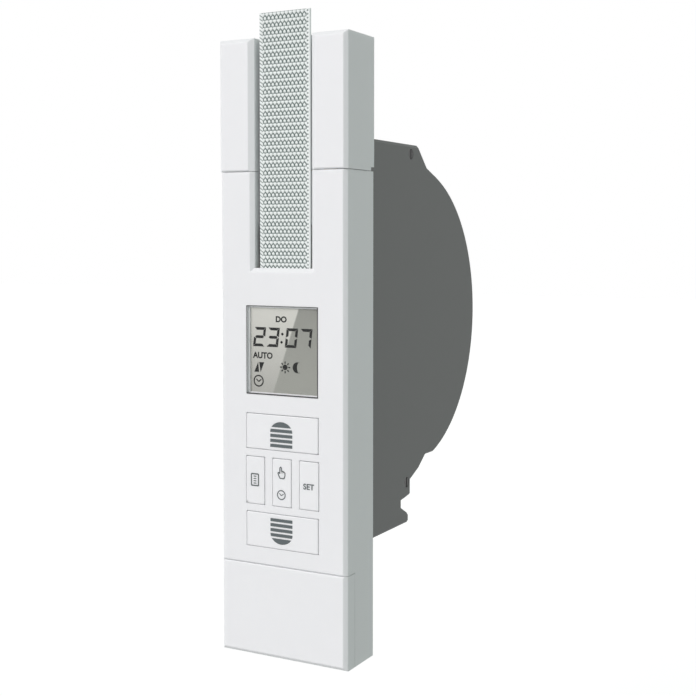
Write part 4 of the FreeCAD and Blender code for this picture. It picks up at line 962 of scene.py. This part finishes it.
class WINDER_OT_stage(bpy.types.Operator):
    """Set up the floor, the light and the camera"""

    bl_idname = "winder.stage"
    bl_label = "Stage"

    def execute(self, context):
        stage = context.scene.winder_stage
        self.make_floor(stage)
        self.make_sky(context, stage)
        self.make_lights(stage)
        self.make_camera(context, stage)
        context.scene.view_settings.view_transform = "Standard"
        return {"FINISHED"}

    def make_floor(self, stage):
        half = stage.floor_size / 2
        z = CAD_BOUNDS[0].z - stage.floor_gap
        mesh = bpy.data.meshes.new("floor")
        corners = [(-half, -half, z), (half, -half, z), (half, half, z), (-half, half, z)]
        mesh.from_pydata(corners, [], [(0, 1, 2, 3)])
        floor = bpy.data.objects.new("floor", mesh)
        bpy.context.scene.collection.objects.link(floor)
        finish = Finish("pale_floor", 0.9)
        finish.feed("Base Color", paint(stage.floor_shade))
        plain = Wire(finish.tree, finish.shader.outputs[0])
        glow = {"Color": PLAIN_WHITE, "Strength": stage.floor_glow}
        white = finish.start.node("ShaderNodeEmission", None, glow)
        lit = finish.start.node("ShaderNodeAddShader", None, {0: plain, 1: white})
        inputs = {0: seen_rays(finish.start), 1: plain, 2: lit}
        mixed = finish.start.node("ShaderNodeMixShader", None, inputs)
        finish.tree.links.new(mixed.socket, finish.tree.nodes["Material Output"].inputs["Surface"])
        mesh.materials.append(finish.material)

    def make_sky(self, context, stage):
        world = bpy.data.worlds.new("studio")
        world.use_nodes = True
        context.scene.world = world
        tree = world.node_tree
        tree.nodes.remove(tree.nodes["Background"])
        start = Wire(tree)
        tinted = {"Color": paint(stage.sky_tint), "Strength": stage.sky}
        even = start.node("ShaderNodeBackground", None, tinted)
        white = start.node("ShaderNodeBackground", None, {"Color": PLAIN_WHITE, "Strength": 1.0})
        mixed = start.node("ShaderNodeMixShader", None, {0: seen_rays(start), 1: even, 2: white})
        tree.links.new(mixed.socket, tree.nodes["World Output"].inputs["Surface"])

    def make_lights(self, stage):
        lamp = bpy.data.lights.new("key_light", "SUN")
        lamp.energy = stage.key
        lamp.color = stage.key_tint
        lamp.angle = stage.key_spread
        holder = bpy.data.objects.new("key_light", lamp)
        bpy.context.scene.collection.objects.link(holder)
        holder.location = stage.key_place
        holder.rotation_euler = (-holder.location).to_track_quat("-Z", "Y").to_euler()

    def make_camera(self, context, stage):
        camera = bpy.data.cameras.new("camera")
        camera.lens = stage.lens
        camera.sensor_width = stage.sensor
        camera.shift_y = stage.shift
        camera.clip_start = 0.01
        holder = bpy.data.objects.new("camera", camera)
        context.scene.collection.objects.link(holder)
        holder.location = stage.camera_place
        holder.rotation_euler = (math.pi / 2 + stage.camera_tilt, 0.0, stage.camera_turn)
        context.scene.camera = holder


class WINDER_PT_panel(bpy.types.Panel):
    """Settings and steps of the belt winder"""

    bl_idname = "WINDER_PT_panel"
    bl_label = "Electric belt winder"
    bl_space_type = "VIEW_3D"
    bl_region_type = "UI"
    bl_category = "Belt Winder"

    def draw(self, context):
        for group in SETTINGS:
            column = self.layout.column(heading=group.__doc__)
            settings = getattr(context.scene, SETTINGS[group])
            for name in group.__annotations__:
                column.prop(settings, name)
        for step in STEPS:
            self.layout.operator(step.bl_idname)


SETTINGS = {
    HousingSettings: "winder_housing",
    BeltSettings: "winder_belt",
    DisplaySettings: "winder_display",
    StageSettings: "winder_stage",
}
STEPS = (
    WINDER_OT_housing,
    WINDER_OT_wall_body,
    WINDER_OT_belt,
    WINDER_OT_winding,
    WINDER_OT_signs,
    WINDER_OT_display,
    WINDER_OT_drive,
    WINDER_OT_electrics,
    WINDER_OT_stage,
)


def register():
    for made in (*SETTINGS, *STEPS, WINDER_PT_panel):
        bpy.utils.register_class(made)
    for group, name in SETTINGS.items():
        setattr(bpy.types.Scene, name, PointerProperty(type=group))


def unregister():
    for name in SETTINGS.values():
        delattr(bpy.types.Scene, name)
    for made in reversed((*SETTINGS, *STEPS, WINDER_PT_panel)):
        bpy.utils.unregister_class(made)


def main():
    register()
    bpy.ops.winder.housing()
    bpy.ops.winder.wall_body()
    bpy.ops.winder.belt()
    bpy.ops.winder.winding()
    bpy.ops.winder.signs()
    bpy.ops.winder.display()
    bpy.ops.winder.drive()
    bpy.ops.winder.electrics()
    bpy.ops.winder.stage()


if __name__ == "__main__":
    main()
